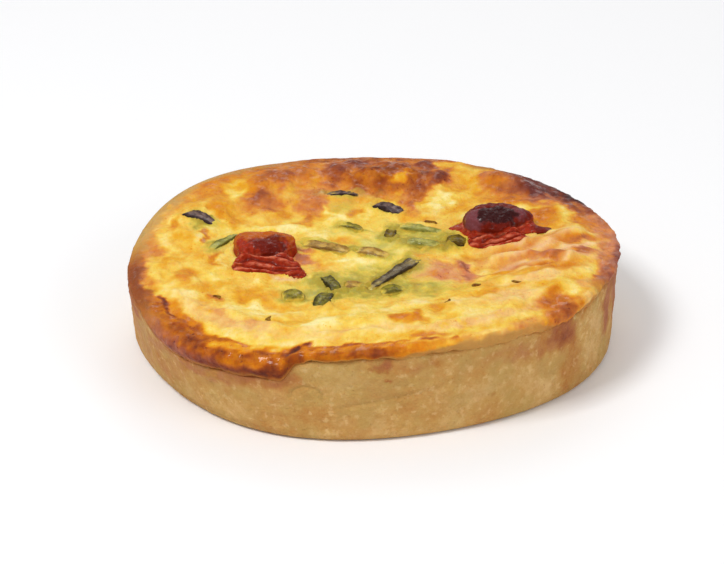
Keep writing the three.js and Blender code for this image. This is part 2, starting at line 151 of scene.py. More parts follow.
# How far each part of the top has baked: middle x and y, half length, half width, heading,
# then how brown (0 cream to 1 charred), how rosy and how amber it is.
BAKED = [
    (-28, 43, 34, 17, 28, 0.44, 0.25, 0.3),
    (-32, 40, 16, 10, 40, 0.42, 0.0, 0.6),
    (-28, 50, 17, 5, 8, 0.54, 0.1, 0.4),
    (-24, 53, 5, 2.6, 0, 0.44, 0.0, 0.6),
    (-24, 42, 9, 5, 30, 0.6, 0.35, 0.2),
    (-14, 44, 6, 2.2, 85, 0.36, 0.0, 0.5),
    (-36, 44, 8, 4, 50, 0.46, 0.0, 0.6),
    (-34, 37, 6, 3.4, 85, 0.3, 0.0, 0.5),
    (-33.5, 31.5, 4.2, 2.8, 70, 0.06, 0.0, 0.0),
    (-36, 22, 10, 3.4, -72, 0.4, 0.0, 1.0),
    (-27.5, 33, 5, 2.8, 70, 0.5, 0.0, 0.8),
    (-26, 29, 8, 5, 60, 0.6, 0.4, 0.2),
    (-14, 31, 10, 6, 60, 0.5, 0.5, 0.1),
    (-15.5, 21.5, 6, 2.4, 80, 0.47, 0.1, 0.2),
    (-22, 22, 5, 3, 80, 0.38, 0.0, 0.4),
    (-42, 38, 4, 2.4, 70, 0.5, 0.0, 0.5),
    (-54, 20, 25, 3.4, 73, 0.34, 0.5, 0.0),
    (-49, 16, 3.4, 2.0, 80, 0.4, 0.0, 0.6),
    (-46, 30, 9, 3, 60, 0.38, 0.2, 0.2),
    (-54, 1, 14, 3.8, 88, 0.42, 0.4, 0.1),
    (-47, 10, 6, 3, 80, 0.24, 0.0, 0.6),
    (-40, 8.5, 7, 1.1, 98, 0.55, 0.0, 0.7),
    # A thin brown line running on from the lower end of leek_left: painted shade of the leek.
    (-38, -3, 6, 1.3, 100, 0.46, 0.0, 0.5),
    (-45, 8, 7, 2.6, 100, 0.26, 0.0, 0.4),
    (-54, -12, 9, 3.2, 100, 0.5, 0.4, 0.3),
    (-24, 14, 15, 2.6, 4, 0.06, 0.0, 0.0),
    (-12, 10, 7, 4, 80, 0.12, 0.0, 0.1),
    (-5, 6.5, 4.6, 3.2, 0, 0.36, 0.0, 0.8),
    (2, 3.5, 8, 3.0, 30, 0.0, 0.0, 0.0),
    (-6, -4.5, 5.0, 2.6, 10, 0.0, 0.0, 0.0),
    (-20.5, -14.2, 5.5, 1.5, -20, 0.2, 1.0, 0.0),
    (4, -3, 7, 3.4, 20, 0.06, 0.0, 0.1),
    (-12, -9, 7, 4, 0, 0.2, 0.2, 0.4),
    (-16, -3, 4.2, 2.0, -50, 0.56, 0.9, 0.0),
    (-17, 2.0, 3.0, 1.2, -20, 0.5, 0.8, 0.0),
    (0, -30, 8, 3.0, 10, 0.1, 0.0, 0.4),
    (20, -34, 8, 3.0, 20, 0.12, 0.4, 0.0),
    (-24, -33, 9, 2.4, -20, 0.04, 0.1, 0.0),
    (-9, 24, 6.5, 1.8, -58, 0.04, 0.0, 0.0),
    (-2.5, 23.5, 3.2, 2.2, 60, 0.44, 0.0, 0.3),
    (-43.5, -13.5, 4.4, 3.2, 70, 0.42, 0.1, 0.6),
    (-48, -5, 6, 3, 80, 0.3, 0.0, 0.6),
    (-36, -18, 6, 3.6, 20, 0.3, 0.0, 0.7),
    (-26, -25, 8, 4.6, -20, 0.34, 0.0, 0.6),
    (-17, -30, 6, 3.0, 10, 0.24, 0.0, 0.6),
    (-36, -25, 3.2, 2.0, -60, 0.66, 0.2, 0.3),
    (-38, -32.5, 14, 4.0, -42, 0.2, 0.5, 0.0),
    (-31, -37.5, 9, 1.2, -38, 0.36, 0.6, 0.0),
    (-28, -42, 11, 4.0, -32, 0.24, 0.6, 0.0),
    (-19, -39, 7, 5, 10, 0.24, 0.0, 0.7),
    (-12, -43, 7, 4.6, 0, 0.04, 0.0, 0.0),
    (0, -38, 12, 5, -4, 0.12, 0.0, 0.3),
    (-2, -48, 24, 2.6, 0, 0.17, 0.5, 0.0),
    (24, -46, 14, 3.0, 14, 0.24, 0.7, 0.0),
    (10, -41, 5.6, 2.8, 88, 0.46, 0.0, 1.0),
    (6.5, -43, 2.6, 1.6, 70, 0.58, 0.0, 0.6),
    (16, -36, 4, 2.8, 20, 0.34, 0.0, 0.9),
    (24.5, -40.5, 2.8, 2.0, 60, 0.17, 0.0, 0.4),
    (13, -52, 4, 2.4, 10, 0.5, 0.1, 0.5),
    (27.5, -28.5, 7, 3.4, 84, 0.4, 0.0, 0.9),
    (27, -25.5, 2.4, 1.8, 0, 0.56, 0.0, 0.6),
    (32, -33, 10, 5, 30, 0.2, 0.6, 0.0),
    (38, -38, 10, 3, 45, 0.24, 0.6, 0.0),
    (41, -8, 17, 14, 0, 0.3, 0.6, 0.2),
    (16, -13.5, 11, 6.0, -28, 0.42, 0.8, 0.0),
    (22.5, -12.5, 7.6, 1.6, -66, 0.55, 1.0, 0.0),
    (10, -20, 6.5, 1.5, 90, 0.48, 0.0, 0.7),
    (20, -23, 9, 3.4, 0, 0.3, 0.0, 0.5),
    (35, -20, 5, 2.4, 0, 0.32, 0.3, 0.5),
    (27, -7, 7, 3.0, 10, 0.3, 0.3, 0.5),
    (30, -26, 9, 2.2, 4, 0.28, 0.1, 0.4),
    (34, -18.3, 10, 1.8, 0, 0.3, 0.0, 0.9),
    (38, -21.5, 4.5, 2.0, 4, 0.26, 0.0, 0.7),
    (36, -14, 8, 2.2, 6, 0.34, 0.7, 0.1),
    (38, -24, 12, 2.2, 4, 0.2, 0.6, 0.0),
    (43, -16, 6, 2.6, 6, 0.48, 0.0, 0.9),
    (41, -9, 7, 2.2, 0, 0.42, 0.7, 0.1),
    (50, -9, 5, 3, 30, 0.46, 0.5, 0.2),
    (48, 0, 9, 1.6, 14, 0.46, 0.0, 0.8),
    (48, 4, 9, 1.5, 14, 0.22, 0.7, 0.0),
    (46, -4, 9, 1.5, 8, 0.24, 0.8, 0.0),
    (36, -11, 8, 1.8, -4, 0.3, 0.6, 0.1),
    (49.5, 0, 5, 1.3, 10, 0.56, 0.6, 0.1),
    (50.5, -7, 4, 1.6, 4, 0.5, 0.9, 0),
    (43, -11, 5.5, 2.2, 10, 0.52, 0.6, 0.1),
    (44.5, -18.5, 6, 3.4, 6, 0.46, 0, 1),
    (44, 13, 8, 5.4, 80, 0.48, 0.0, 0.8),
    (40, 18, 5, 3, 40, 0.46, 0, 0.8),
    (44, 19, 5, 4, 50, 0.5, 0.0, 0.6),
    (53, 12, 8, 3.4, 100, 0.5, 0.2, 0.4),
    (38, 36, 17, 8.5, -46, 0.66, 0.45, 0.1),
    (44, 31, 10, 5.4, -50, 0.82, 0.7, 0.0),
    (47, 32, 8, 1.6, -54, 0.95, 0.0, 0.0),
    (42, 28.5, 2.4, 1.6, 0, 0.5, 0.8, 0.0),
    (52, 22, 9, 3.6, -62, 0.7, 0.4, 0.1),
    (35, 28, 7, 5, 0, 0.5, 0.1, 0.6),
    (31, 38, 6.5, 4, 80, 0.48, 0.1, 0.7),
    (31, 43, 3.6, 3.0, 40, 0.56, 0.6, 0.0),
    (23.5, 38, 15, 3.8, 74, 0.24, 0.0, 0.7),
    (18.5, 29.5, 6, 3.0, 76, 0.04, 0.0, 0.0),
    (24, 24, 9, 4.6, 60, 0.28, 0.0, 0.7),
    (4, 43.5, 21, 13, -2, 0.68, 0.25, 0.3),
    (4, 42, 11, 5.4, 0, 0.64, 0.0, 0.7),
    (-9, 44, 8, 3.4, 88, 0.74, 0.4, 0.0),
    (0, 43.5, 3.6, 2.0, 10, 0.72, 0.0, 0.5),
    (8.5, 40, 3.6, 1.8, 50, 0.3, 0.0, 0.7),
    (-3, 52, 7, 5.0, 60, 0.74, 0.7, 0.0),
    (9, 52, 7, 4, 0, 0.58, 0.3, 0.2),
    (18, 42.5, 9, 3.2, 70, 0.78, 0.4, 0.0),
    (15, 52, 5, 3.0, 60, 0.74, 0.5, 0.0),
    (12.5, 36, 6, 2.8, 70, 0.68, 0.2, 0.2),
    (10.5, 29, 8.5, 2.8, 96, 0.58, 0.4, 0.1),
    (-6, 28, 5, 4, 60, 0.4, 0.0, 0.5),
]

# Green juice round the cooked vegetables: middle x and y, half length, half width, heading, strength.
GREENED = [
    (-42.5, 13.8, 3.4, 3.0, 0, 0.9),
    (-6, 27, 6, 5, 60, 0.8),
    (-8, 13, 10, 5, 0, 0.6),
    (9, 5, 16, 9, -12, 0.85),
    (12, 8, 10, 5, -24, 1.0),
    (-4, -21, 20, 8, 8, 0.85),
    (-9, 3, 10, 4, -24, 0.6),
    (-38, 4, 6, 3.4, 60, 0.55),
    (15, -27, 5, 3, 0, 0.6),
    (27, -24, 8, 2.6, 0, 0.45),
    (2, -33, 6, 4, 0, 0.5),
    (-1, -13, 15, 9, 6, 1.0),
    (8, -23, 18, 6, 4, 0.6),
    (3, 2, 12, 7, 0, 0.4),
    (-14, -20, 16, 10, 0, 0.45),
    (14, -21, 12, 5, 10, 0.5),
    (-40, 13, 7, 4, 70, 0.4),
    (2, 18, 12, 6, -10, 0.4),
    (-20, 20, 9, 3, 10, 0.45),
    (8, -8, 9, 5, -30, 0.5),
    (34, 0, 6, 3, 20, 0.35),
]

# The edge of the filling by angle in degrees: how brown and how rosy it is, how far out that starts as a
# share of the lip's radius, and how far up its side it looks like the pastry below.
EDGE_BAKE = [
    (0, 0.42, 0.9, 0.92, 0.25), (10, 0.46, 0.8, 0.925, 0.25), (20, 0.6, 0.6, 0.935, 0.25),
    (30, 0.8, 0.4, 0.95, 0.25), (40, 0.84, 0.5, 0.93, 0.25), (50, 0.74, 0.5, 0.93, 0.25),
    (58, 0.44, 0, 0.97, 0.25), (65, 0.46, 0.1, 0.97, 0.25), (71, 0.66, 0.3, 0.94, 0.25),
    (85, 0.66, 0.4, 0.93, 0.25), (95, 0.72, 0.5, 0.92, 0.25), (105, 0.6, 0.3, 0.93, 0.25),
    (115, 0.52, 0.1, 0.94, 0.25), (135, 0.42, 0.1, 0.95, 0.25), (150, 0.26, 0.3, 0.94, 0.25),
    (165, 0.24, 0.4, 0.94, 0.25), (178, 0.4, 0.4, 0.95, 0.25), (188, 0.62, 0.4, 0.97, 0.25),
    (200, 0.64, 0.3, 0.97, 0.25), (208, 0.58, 0.1, 0.92, 0.16), (215, 0.56, 0, 0.9, 0.16),
    (225, 0.6, 0, 0.915, 0.16), (236, 0.56, 0, 0.945, 0.16), (244, 0.46, 0, 0.95, 0.16),
    (252, 0.56, 0, 0.93, 0.16), (256, 0.5, 0, 0.94, 0.25), (265, 0.5, 0, 0.945, 0.25),
    (275, 0.48, 0, 0.95, 0.25), (284, 0.38, 0.1, 0.97, 0.6), (290, 0.3, 0.3, 0.975, 0.95),
    (300, 0.32, 0.5, 0.97, 0.95), (308, 0.38, 0.4, 0.965, 0.95), (313, 0.5, 0.1, 0.95, 0.1),
    (320, 0.46, 0.1, 0.95, 0.1), (328, 0.42, 0.1, 0.96, 0.6), (334, 0.42, 0.4, 0.97, 0.6),
    (345, 0.54, 0.8, 0.93, 0.25), (352, 0.48, 0.9, 0.92, 0.25),
]

# Patches on that edge: angle, millimetres in from the lip (down the side where below 0), half width in
# degrees, half height, then how brown, how rosy and how amber.
EDGE_PATCHES = [
    (190, 0, 7, 1.7, 0.79, 0.5, 0.08), (199, 0, 6, 1.8, 0.83, 0.4, 0.16),
    (206, 0.4, 4, 1.6, 0.79, 0.3, 0.24), (213, -2.6, 8, 2.8, 0.62, 1, 0), (222, -3.2, 8, 3, 0.64, 1, 0),
    (231, -3.7, 8, 2.4, 0.7, 0.9, 0), (210, 1.8, 4, 2, 0.61, 0, 0.72), (216, 2, 5, 2, 0.59, 0, 0.76),
    (221, 1.6, 4, 2.2, 0.71, 0, 0.48), (213, 5.6, 5, 1.7, 0.4, 0, 0.9), (220, 5.6, 5, 1.3, 0.5, 0, 0.6),
    (208, 4.4, 3.6, 1, 0.81, 0.2, 0.16), (213, 4, 4, 0.7, 0.79, 0.1, 0.24),
    (221, 4.2, 6, 0.8, 0.67, 0.1, 0.32), (229, 0.4, 5, 2.6, 0.76, 0, 0.24),
    (237, 1.6, 7, 1.7, 0.34, 0, 1), (239, -0.9, 8, 1.8, 0.67, 0, 0.72),
    (233, 3.4, 5, 0.8, 0.63, 0, 0.32), (240, 3.8, 4, 0.7, 0.57, 0, 0.4),
    (241, -4.2, 9, 2, 0.78, 0.4, 0.08), (249, -3.2, 4, 2.8, 0.79, 0.1, 0.16),
    (246, 1.2, 4, 1.6, 0.73, 0, 0.56), (243.5, 3.2, 1.8, 1.2, 0.2, 0, 0.9),
    (248.3, 3, 2.2, 1.4, 0.18, 0, 1), (251.6, 2.4, 1.8, 2.8, 0.83, 0, 0.08),
    (254.5, 4.6, 1.6, 1.5, 0.83, 0.1, 0), (253.5, -1.4, 2.2, 2.8, 0.75, 0, 0.24),
    (260, -0.2, 4, 2.4, 0.67, 0, 0.68), (266, -0.2, 4, 2.4, 0.69, 0, 0.64),
    (263, 3.3, 8, 0.7, 0.65, 0.1, 0.24), (271.5, -0.9, 3.2, 2.2, 0.77, 0.1, 0.16),
    (275.5, 0.4, 3, 1.8, 0.57, 0, 0.48), (274, 3.2, 5, 0.7, 0.55, 0.1, 0.32),
    (283, 2.6, 3, 1.2, 0.64, 0.1, 0.3), (280, 0.4, 3, 1.4, 0.4, 0, 0.6),
    (288, 1, 1.4, 0.9, 0.62, 0, 0.2), (287, -0.8, 5, 1.6, 0.36, 0.1, 0.6),
    (294, -0.6, 4, 1.4, 0.32, 0.3, 0.2), (296, 1.4, 5, 1.2, 0.2, 0.3, 0),
    (303.5, -0.6, 1.8, 0.9, 0.54, 0.4, 0), (301, -0.9, 5, 1.2, 0.3, 0.6, 0),
    (318, 4.5, 5.5, 4.2, 0.58, 0.1, 0.3), (322, 8.0, 4, 2.6, 0.52, 0, 0.5),
    (316.5, 0, 5, 3.4, 0.64, 0.3, 0.1), (327, -0.6, 4, 2.6, 0.2, 0.5, 0),
    (331, 3, 3, 2.6, 0.34, 0.5, 0.2), (338, 0.6, 5, 2.4, 0.64, 0.9, 0), (346, 0.4, 7, 2.2, 0.64, 1, 0),
    (0, 0.6, 8, 2.2, 0.48, 1, 0), (353, -0.2, 7, 1.7, 0.7, 1, 0), (12, 0.8, 8, 2.4, 0.52, 0.8, 0.1),
    (22, 0.6, 5, 1.6, 0.74, 0.4, 0), (39, 1.2, 7, 3.4, 0.86, 0.6, 0), (50, 1.8, 6, 3.8, 0.78, 0.6, 0),
    (29, 0.2, 6, 1.3, 0.97, 0.1, 0), (38, 0, 5, 0.9, 0.98, 0, 0), (33, 4.6, 3, 1.6, 0.6, 0.7, 0),
]

# How brown the pastry's rim is and how many millimetres down that fades, by angle in degrees.
RIM_BAKE = [
    (0, 0.8, 9), (20, 0.8, 6), (60, 0.5, 3), (100, 0.6, 3), (135, 0.3, 2), (150, 0.12, 3),
    (168, 0.12, 3), (178, 0.45, 3), (188, 0.86, 6), (200, 0.84, 5), (210, 0.6, 4), (222, 0.62, 2.6),
    (238, 0.64, 2.4), (250, 0.6, 2.4), (256, 0.48, 1.8), (275, 0.5, 1.8), (290, 0.4, 1.8),
    (306, 0.42, 3), (314, 0.5, 5), (322, 0.5, 5), (330, 0.5, 8), (340, 0.62, 10), (350, 0.78, 10),
]

# Stains on the wall: angle, height, half width in degrees, half height, then how brown and how rosy.
WALL_STAINS = [
    (198, 10.0, 12, 10.0, 0.38, 0.6), (190, 18.0, 8, 4.4, 0.78, 0.6), (200, 18.0, 6, 3.4, 0.74, 0.7),
    (212, 13.6, 8, 2.4, 0.5, 0.8), (228, 13.4, 14, 2.2, 0.54, 0.8), (244, 14.0, 9, 2.2, 0.58, 0.5),
    (251, 15.4, 4, 2.2, 0.58, 0.3), (271, 18.0, 4, 1.9, 0.64, 0.4), (272.6, 14.8, 1.3, 0.8, 0.7, 0.4),
    (281, 17.8, 6, 1.5, 0.46, 0.3), (303, 17.6, 8, 2.6, 0.42, 0.6), (313, 16.0, 5, 3.4, 0.54, 0.5),
    (315, 18.4, 7, 3.6, 0.84, 0.3), (318, 15.0, 4.4, 3.4, 0.8, 0.3), (319, 8.0, 4, 6.5, 0.52, 0.1),
    (321, 2.6, 5, 3.0, 0.5, 0.1), (331, 15.0, 2.6, 5.0, 0.2, 0.2), (338, 15.0, 4.6, 8.5, 0.78, 0.8),
    (348, 14.0, 6, 9.0, 0.76, 0.9), (215, 8.0, 8, 6.0, 0.46, 0.3), (256, 8.0, 7, 5.0, 0.42, 0.0),
    (232, 6.0, 6, 4.0, 0.26, 0.0), (205, 11.5, 1.2, 0.8, 0.62, 0.3), (217, 9.8, 1.0, 0.7, 0.6, 0.3),
    (297, 8.4, 1.0, 0.6, 0.55, 0.2),
]

# Tomato halves: node, middle x and y, half sizes of the dome, top, the way the split skin slumped, how wide
# either side of that, how far, the points it runs out to (direction, reach and spread), how far up its
# shoulder is, and its roundness.
LEFT_POINTS = [(-55, 17.5, 9)]
RIGHT_POINTS = [(-23, 14.5, 10), (180, 12.0, 15)]
TOMATOES = [
    ("tomato_left", -25.8, -0.3, 7.4, 5.8, 26.0, -88, 36, 12.2, LEFT_POINTS, 0.42, 0.75),
    ("tomato_right", 31.2, 11.0, 8.6, 6.6, 27.0, -91, 31, 12.3, RIGHT_POINTS, 0.15, 1.0),
]

# Cut vegetables: node, middle x and y, length, width, thickness, heading, tip-up, how far it stands out and
# how much it narrows to one end.
VEGETABLES = [
    ("aubergine_1", -42.1, 17.8, 9.6, 5.0, 3.2, -40, -4, 1.0, 0.5),
    ("aubergine_2", 4.8, 25.2, 8.8, 4.4, 3.2, -42, 4, 1.0, 0.2),
    # aubergine_3 is a thin dark strip at the front foot of the blister: partly a vegetable, partly painted
    # shade under the blister's edge.
    ("aubergine_3", -6.9, 34.0, 9.4, 2.8, 2.4, -2, 0, 0.5, 0.2),
    ("courgette_back", -4.7, 15.2, 6.8, 3.6, 2.4, -32, 0, 0.5, 0.5),
    ("onion_strip", -11.0, 3.0, 14.0, 4.4, 2.6, -28, 2, 0.6, 0.25),
    ("onion_ochre", 0.6, -1.2, 9.0, 4.2, 2.4, -29, 0, 0.55, 0.3),
    ("leek_left", -35.6, 5.6, 11.4, 2.8, 2.6, 54, 0, 0.6, 0.3),
    ("courgette_dark", -9.7, -17.6, 11.0, 3.6, 3.0, -70, 4, 1.0, 0.2),
    ("courgette_square", -11.2, -28.2, 8.2, 4.2, 3.0, 78, 0, 1.0, 0.1),
    ("courgette_clump", -18.3, -24.6, 5.4, 5.6, 3.2, 5, 0, 0.7, 0.2),
    ("courgette_long", 5.8, -12.4, 20.0, 2.2, 2.6, 51, 2, 0.8, -0.9),
    ("courgette_front", 5.0, -22.6, 5.4, 4.8, 3.0, 10, 0, 0.6, 0.15),
    ("onion_bit", -4.3, -18.3, 4.2, 3.8, 2.4, -10, 0, 0.6, 0.2),
    ("pepper_middle", 5.1, 10.4, 6.6, 3.4, 2.6, 81, 0, 0.6, 0.2),
    ("leek_right", 13.4, 12.2, 13.0, 3.8, 2.4, -28, 0, 0.6, 0.4),
    ("leek_middle", 13.2, 3.4, 10.0, 4.4, 2.4, -24, 0, 0.6, 0.3),
    ("pepper_right", 21.0, 3.0, 5.0, 5.0, 3.4, -10, 5, 1.2, 0.1),
]

# How much more of these the filling covers than their height tells.
FILMED = {
    "courgette_back": 0.45,
    "courgette_clump": 0.6,
    "courgette_front": 0.35,
    "leek_right": 0.3,
    "leek_middle": 0.3,
    "onion_strip": 0.15,
    "onion_ochre": 0.2,
    "onion_bit": 0.3,
}

# Herb flecks: x, y, length, heading.
HERBS = [
    (15.4, 17.2, 3.6, -36), (-36.0, -24.5, 2.8, -60), (-23.6, -37.6, 2.6, 88), (25.0, -24.0, 3.2, 20),
    (34.0, -25.0, 2.6, -10), (17.7, -34.0, 2.4, 60),
]


def linear(*screen):
    """A screen colour of 0 to 255 as Blender's linear numbers."""
    shares = [channel / 255 for channel in screen]
    return tuple(s / 12.92 if s <= 0.04045 else ((s + 0.055) / 1.055) ** 2.4 for s in shares)


def colour_property(name, description, *screen):
    return bpy.props.FloatVectorProperty(
        name=name,
        description=description,
        subtype="COLOR",
        size=3,
        min=0,
        max=1,
        default=linear(*screen),
    )


def length_property(name, description, millimetres):
    return bpy.props.FloatProperty(
        name=name,
        description=description,
        subtype="DISTANCE",
        unit="LENGTH",
        min=0,
        default=millimetres * MM,
    )


class QuicheSizes(bpy.types.PropertyGroup):
    rim_radius: length_property("Rim radius", "Mean radius of the case at its rim", 60)
    base_radius: length_property("Base radius", "Mean radius of the case at its foot", 58.3)
    rim_height: length_property("Rim height", "Mean height of the case", 21.6)
    wall_thickness: length_property("Wall thickness", "Thickness of the pastry wall", 3.4)
    basin_level: length_property("Basin level", "Height of the filling in the middle", 20.7)
    ridge_above_rim: length_property("Ridge above rim", "Height of the puffed ridge above the case", 1.1)
    lip_above_rim: length_property("Lip above rim", "Height of the filling's edge above the case", 0.9)
    relief: bpy.props.FloatProperty(
        name="Relief",
        description="Strength of the fine lumps and folds",
        subtype="FACTOR",
        min=0,
        max=2,
        default=1,
    )


class QuicheColours(bpy.types.PropertyGroup):
    cream: colour_property("Cream", "Palest custard", 246, 230, 156)
    custard: colour_property("Custard", "Baked custard", 238, 204, 84)
    gold: colour_property("Gold", "Lightly browned cheese", 228, 168, 34)
    orange: colour_property("Orange", "Well browned cheese", 206, 118, 14)
    brown: colour_property("Brown", "Dark browned cheese", 156, 70, 6)
    maroon: colour_property("Maroon", "Nearly burnt cheese", 104, 42, 20)
    char: colour_property("Char", "Burnt cheese", 48, 24, 24)
    peach: colour_property("Peach", "Pinkish bloom on pale cheese", 244, 202, 152)
    rose: colour_property("Rose", "Pinkish bloom on browned cheese", 204, 132, 100)
    plum: colour_property("Plum", "Purplish bloom on dark cheese", 112, 50, 46)
    amber: colour_property("Amber", "Deep orange cheese", 218, 136, 2)
    juice_pale: colour_property("Pale juice", "Custard with a little green juice in it", 236, 214, 104)
    juice: colour_property("Juice", "Green juice of the vegetables", 204, 186, 76)
    # Darkest green: juice, and the painted shade round each vegetable.
    juice_and_shade_dark: colour_property("Dark juice", "Green juice beside the leaves", 146, 144, 54)
    pastry_pale: colour_property("Pale pastry", "Palest pastry", 222, 186, 128)
    pastry: colour_property("Pastry", "Baked pastry", 192, 148, 80)
    pastry_tan: colour_property("Tan pastry", "Well baked pastry", 176, 118, 52)
    pastry_brown: colour_property("Brown pastry", "Browned rim", 150, 80, 36)
    pastry_dark: colour_property("Dark pastry", "Nearly burnt rim", 100, 48, 36)
    pastry_rose: colour_property("Rosy pastry", "Reddish bloom on browned pastry", 176, 112, 82)
    pastry_olive: colour_property("Olive pastry", "Greenish cast of the buttery pastry", 176, 146, 78)
    tomato: colour_property("Tomato", "Roasted tomato skin", 164, 46, 20)
    tomato_amber: colour_property("Amber tomato", "Browned tomato skin", 186, 94, 6)
    # Dark skin, also used as painted shade in the valleys of the skin's folds.
    tomato_dark: colour_property("Dark tomato", "Shrunken tomato skin", 98, 20, 8)
    # Painted highlight: light glinting on the crests of the skin's folds and along the foot of the dome.
    tomato_highlight: colour_property("Bright tomato", "Wet tomato flesh in the folds", 228, 132, 98)
    tomato_char: colour_property("Charred tomato", "Charred tomato skin", 56, 18, 18)
    # Painted sheen: purple light reflected on the sides of the right tomato's charred dome.
    tomato_sheen: colour_property("Tomato bloom", "Purple bloom on charred skin", 118, 64, 70)
    herb_dark: colour_property("Dark herb", "Darkest part of a herb fleck", 104, 52, 12)
    herb_pale: colour_property("Pale herb", "Palest part of a herb fleck", 150, 112, 34)


def smooth(value, low, high):
    share = np.clip((value - low) / (high - low), 0.0, 1.0)
    return share * share * (3 - 2 * share)


def between(start, end, share):
    return start + (end - start) * share


def lobes(rows, angle):
    return sum(swell * np.cos(count * (angle - math.radians(crest))) for count, swell, crest in rows)


def by_angle(rows, angle, column):
    """Reads a column of a table by angle, in straight steps from row to row round the circle."""
    places = [row[0] for row in rows]
    values = [row[column] for row in rows]
    return np.interp(np.degrees(angle) % 360, places, values, period=360)


# Large odd numbers that scatter the noise, and the bits that are kept of each product and of the result.
SCATTER = (374761393, 668265263, 1440662683, 144269527)
SCATTER_AGAIN = 1274126177
KEPT_BITS = 0xFFFFFFFF
RESULT_BITS = 0xFFFF


def lattice(*place):
    """A repeatable number from 0 to 1 for each whole-numbered x, y, z and seed."""
    mixed = sum(number * factor for number, factor in zip(place, SCATTER)) & KEPT_BITS
    mixed = ((mixed ^ (mixed >> 13)) * SCATTER_AGAIN) & KEPT_BITS
    return ((mixed ^ (mixed >> 16)) & RESULT_BITS) / RESULT_BITS


def lumps(points, size, seed=0):
    """Smooth noise from -1 to 1, with lumps about size across."""
    place = points / size
    cell = np.floor(place).astype(np.int64)
    part = place - cell
    part = part * part * part * (part * (part * 6 - 15) + 10)
    total = 0
    for corner in np.ndindex(2, 2, 2):
        weight = np.prod([part[..., k] if corner[k] else 1 - part[..., k] for k in range(3)], axis=0)
        total = total + weight * lattice(*(cell[..., k] + corner[k] for k in range(3)), seed)
    return total * 2 - 1


# How each layer of noise is turned against the last, and how many times finer and fainter it is.
TWIST = np.array(Matrix.Rotation(0.9, 3, Vector((0.4, 0.7, 0.6)).normalized()))
FINER = 1.9
FAINTER = 1.7


def rough(points, size, layers, seed=0):
    """Layers of ever finer lumps, each turned against the last so that no grid shows."""
    total = 0
    for layer in range(layers):
        total = total + lumps(points, size / FINER**layer, seed + layer) / FAINTER**layer
        points = points @ TWIST
    return total


def turned(x, y, middle_x, middle_y, heading):
    """Place in a shape's own frame: along and across its heading in degrees."""
    turn = math.radians(heading)
    along = (x - middle_x) * math.cos(turn) + (y - middle_y) * math.sin(turn)
    across = (y - middle_y) * math.cos(turn) - (x - middle_x) * math.sin(turn)
    return along, across


def hump(row, x, y, inner=0.25, outer=1.15):
    """1 in the middle of a row's oval, 0 outside it."""
    along, across = turned(x, y, row[0], row[1], row[4])
    return 1 - smooth(np.hypot(along / row[2], across / row[3]), inner, outer)


def oval(row, degrees, height):
    """1 in the middle of a row's oval on the wall or the edge, 0 outside it."""
    across = (degrees - row[0] + 180) % 360 - 180
    return 1 - smooth(np.hypot(across / row[2], (height - row[1]) / row[3]), 0.35, 1.2)


def lay(fields, rows, first, cover):
    """Lays each row's values, from column first on, over the fields as far as the row covers them."""
    for row in rows:
        here = cover(row)
        for column, key in enumerate(fields, first):
            fields[key] = between(fields[key], row[column], here)


def flat_points(x, y, z=0.0):
    return np.stack([x, y, np.broadcast_to(z, np.shape(x))], axis=-1)


def round_points(radius, angle, height):
    return flat_points(radius * np.cos(angle), radius * np.sin(angle), height)


def full_turn(steps):
    return np.linspace(0, 2 * np.pi, steps, endpoint=False)


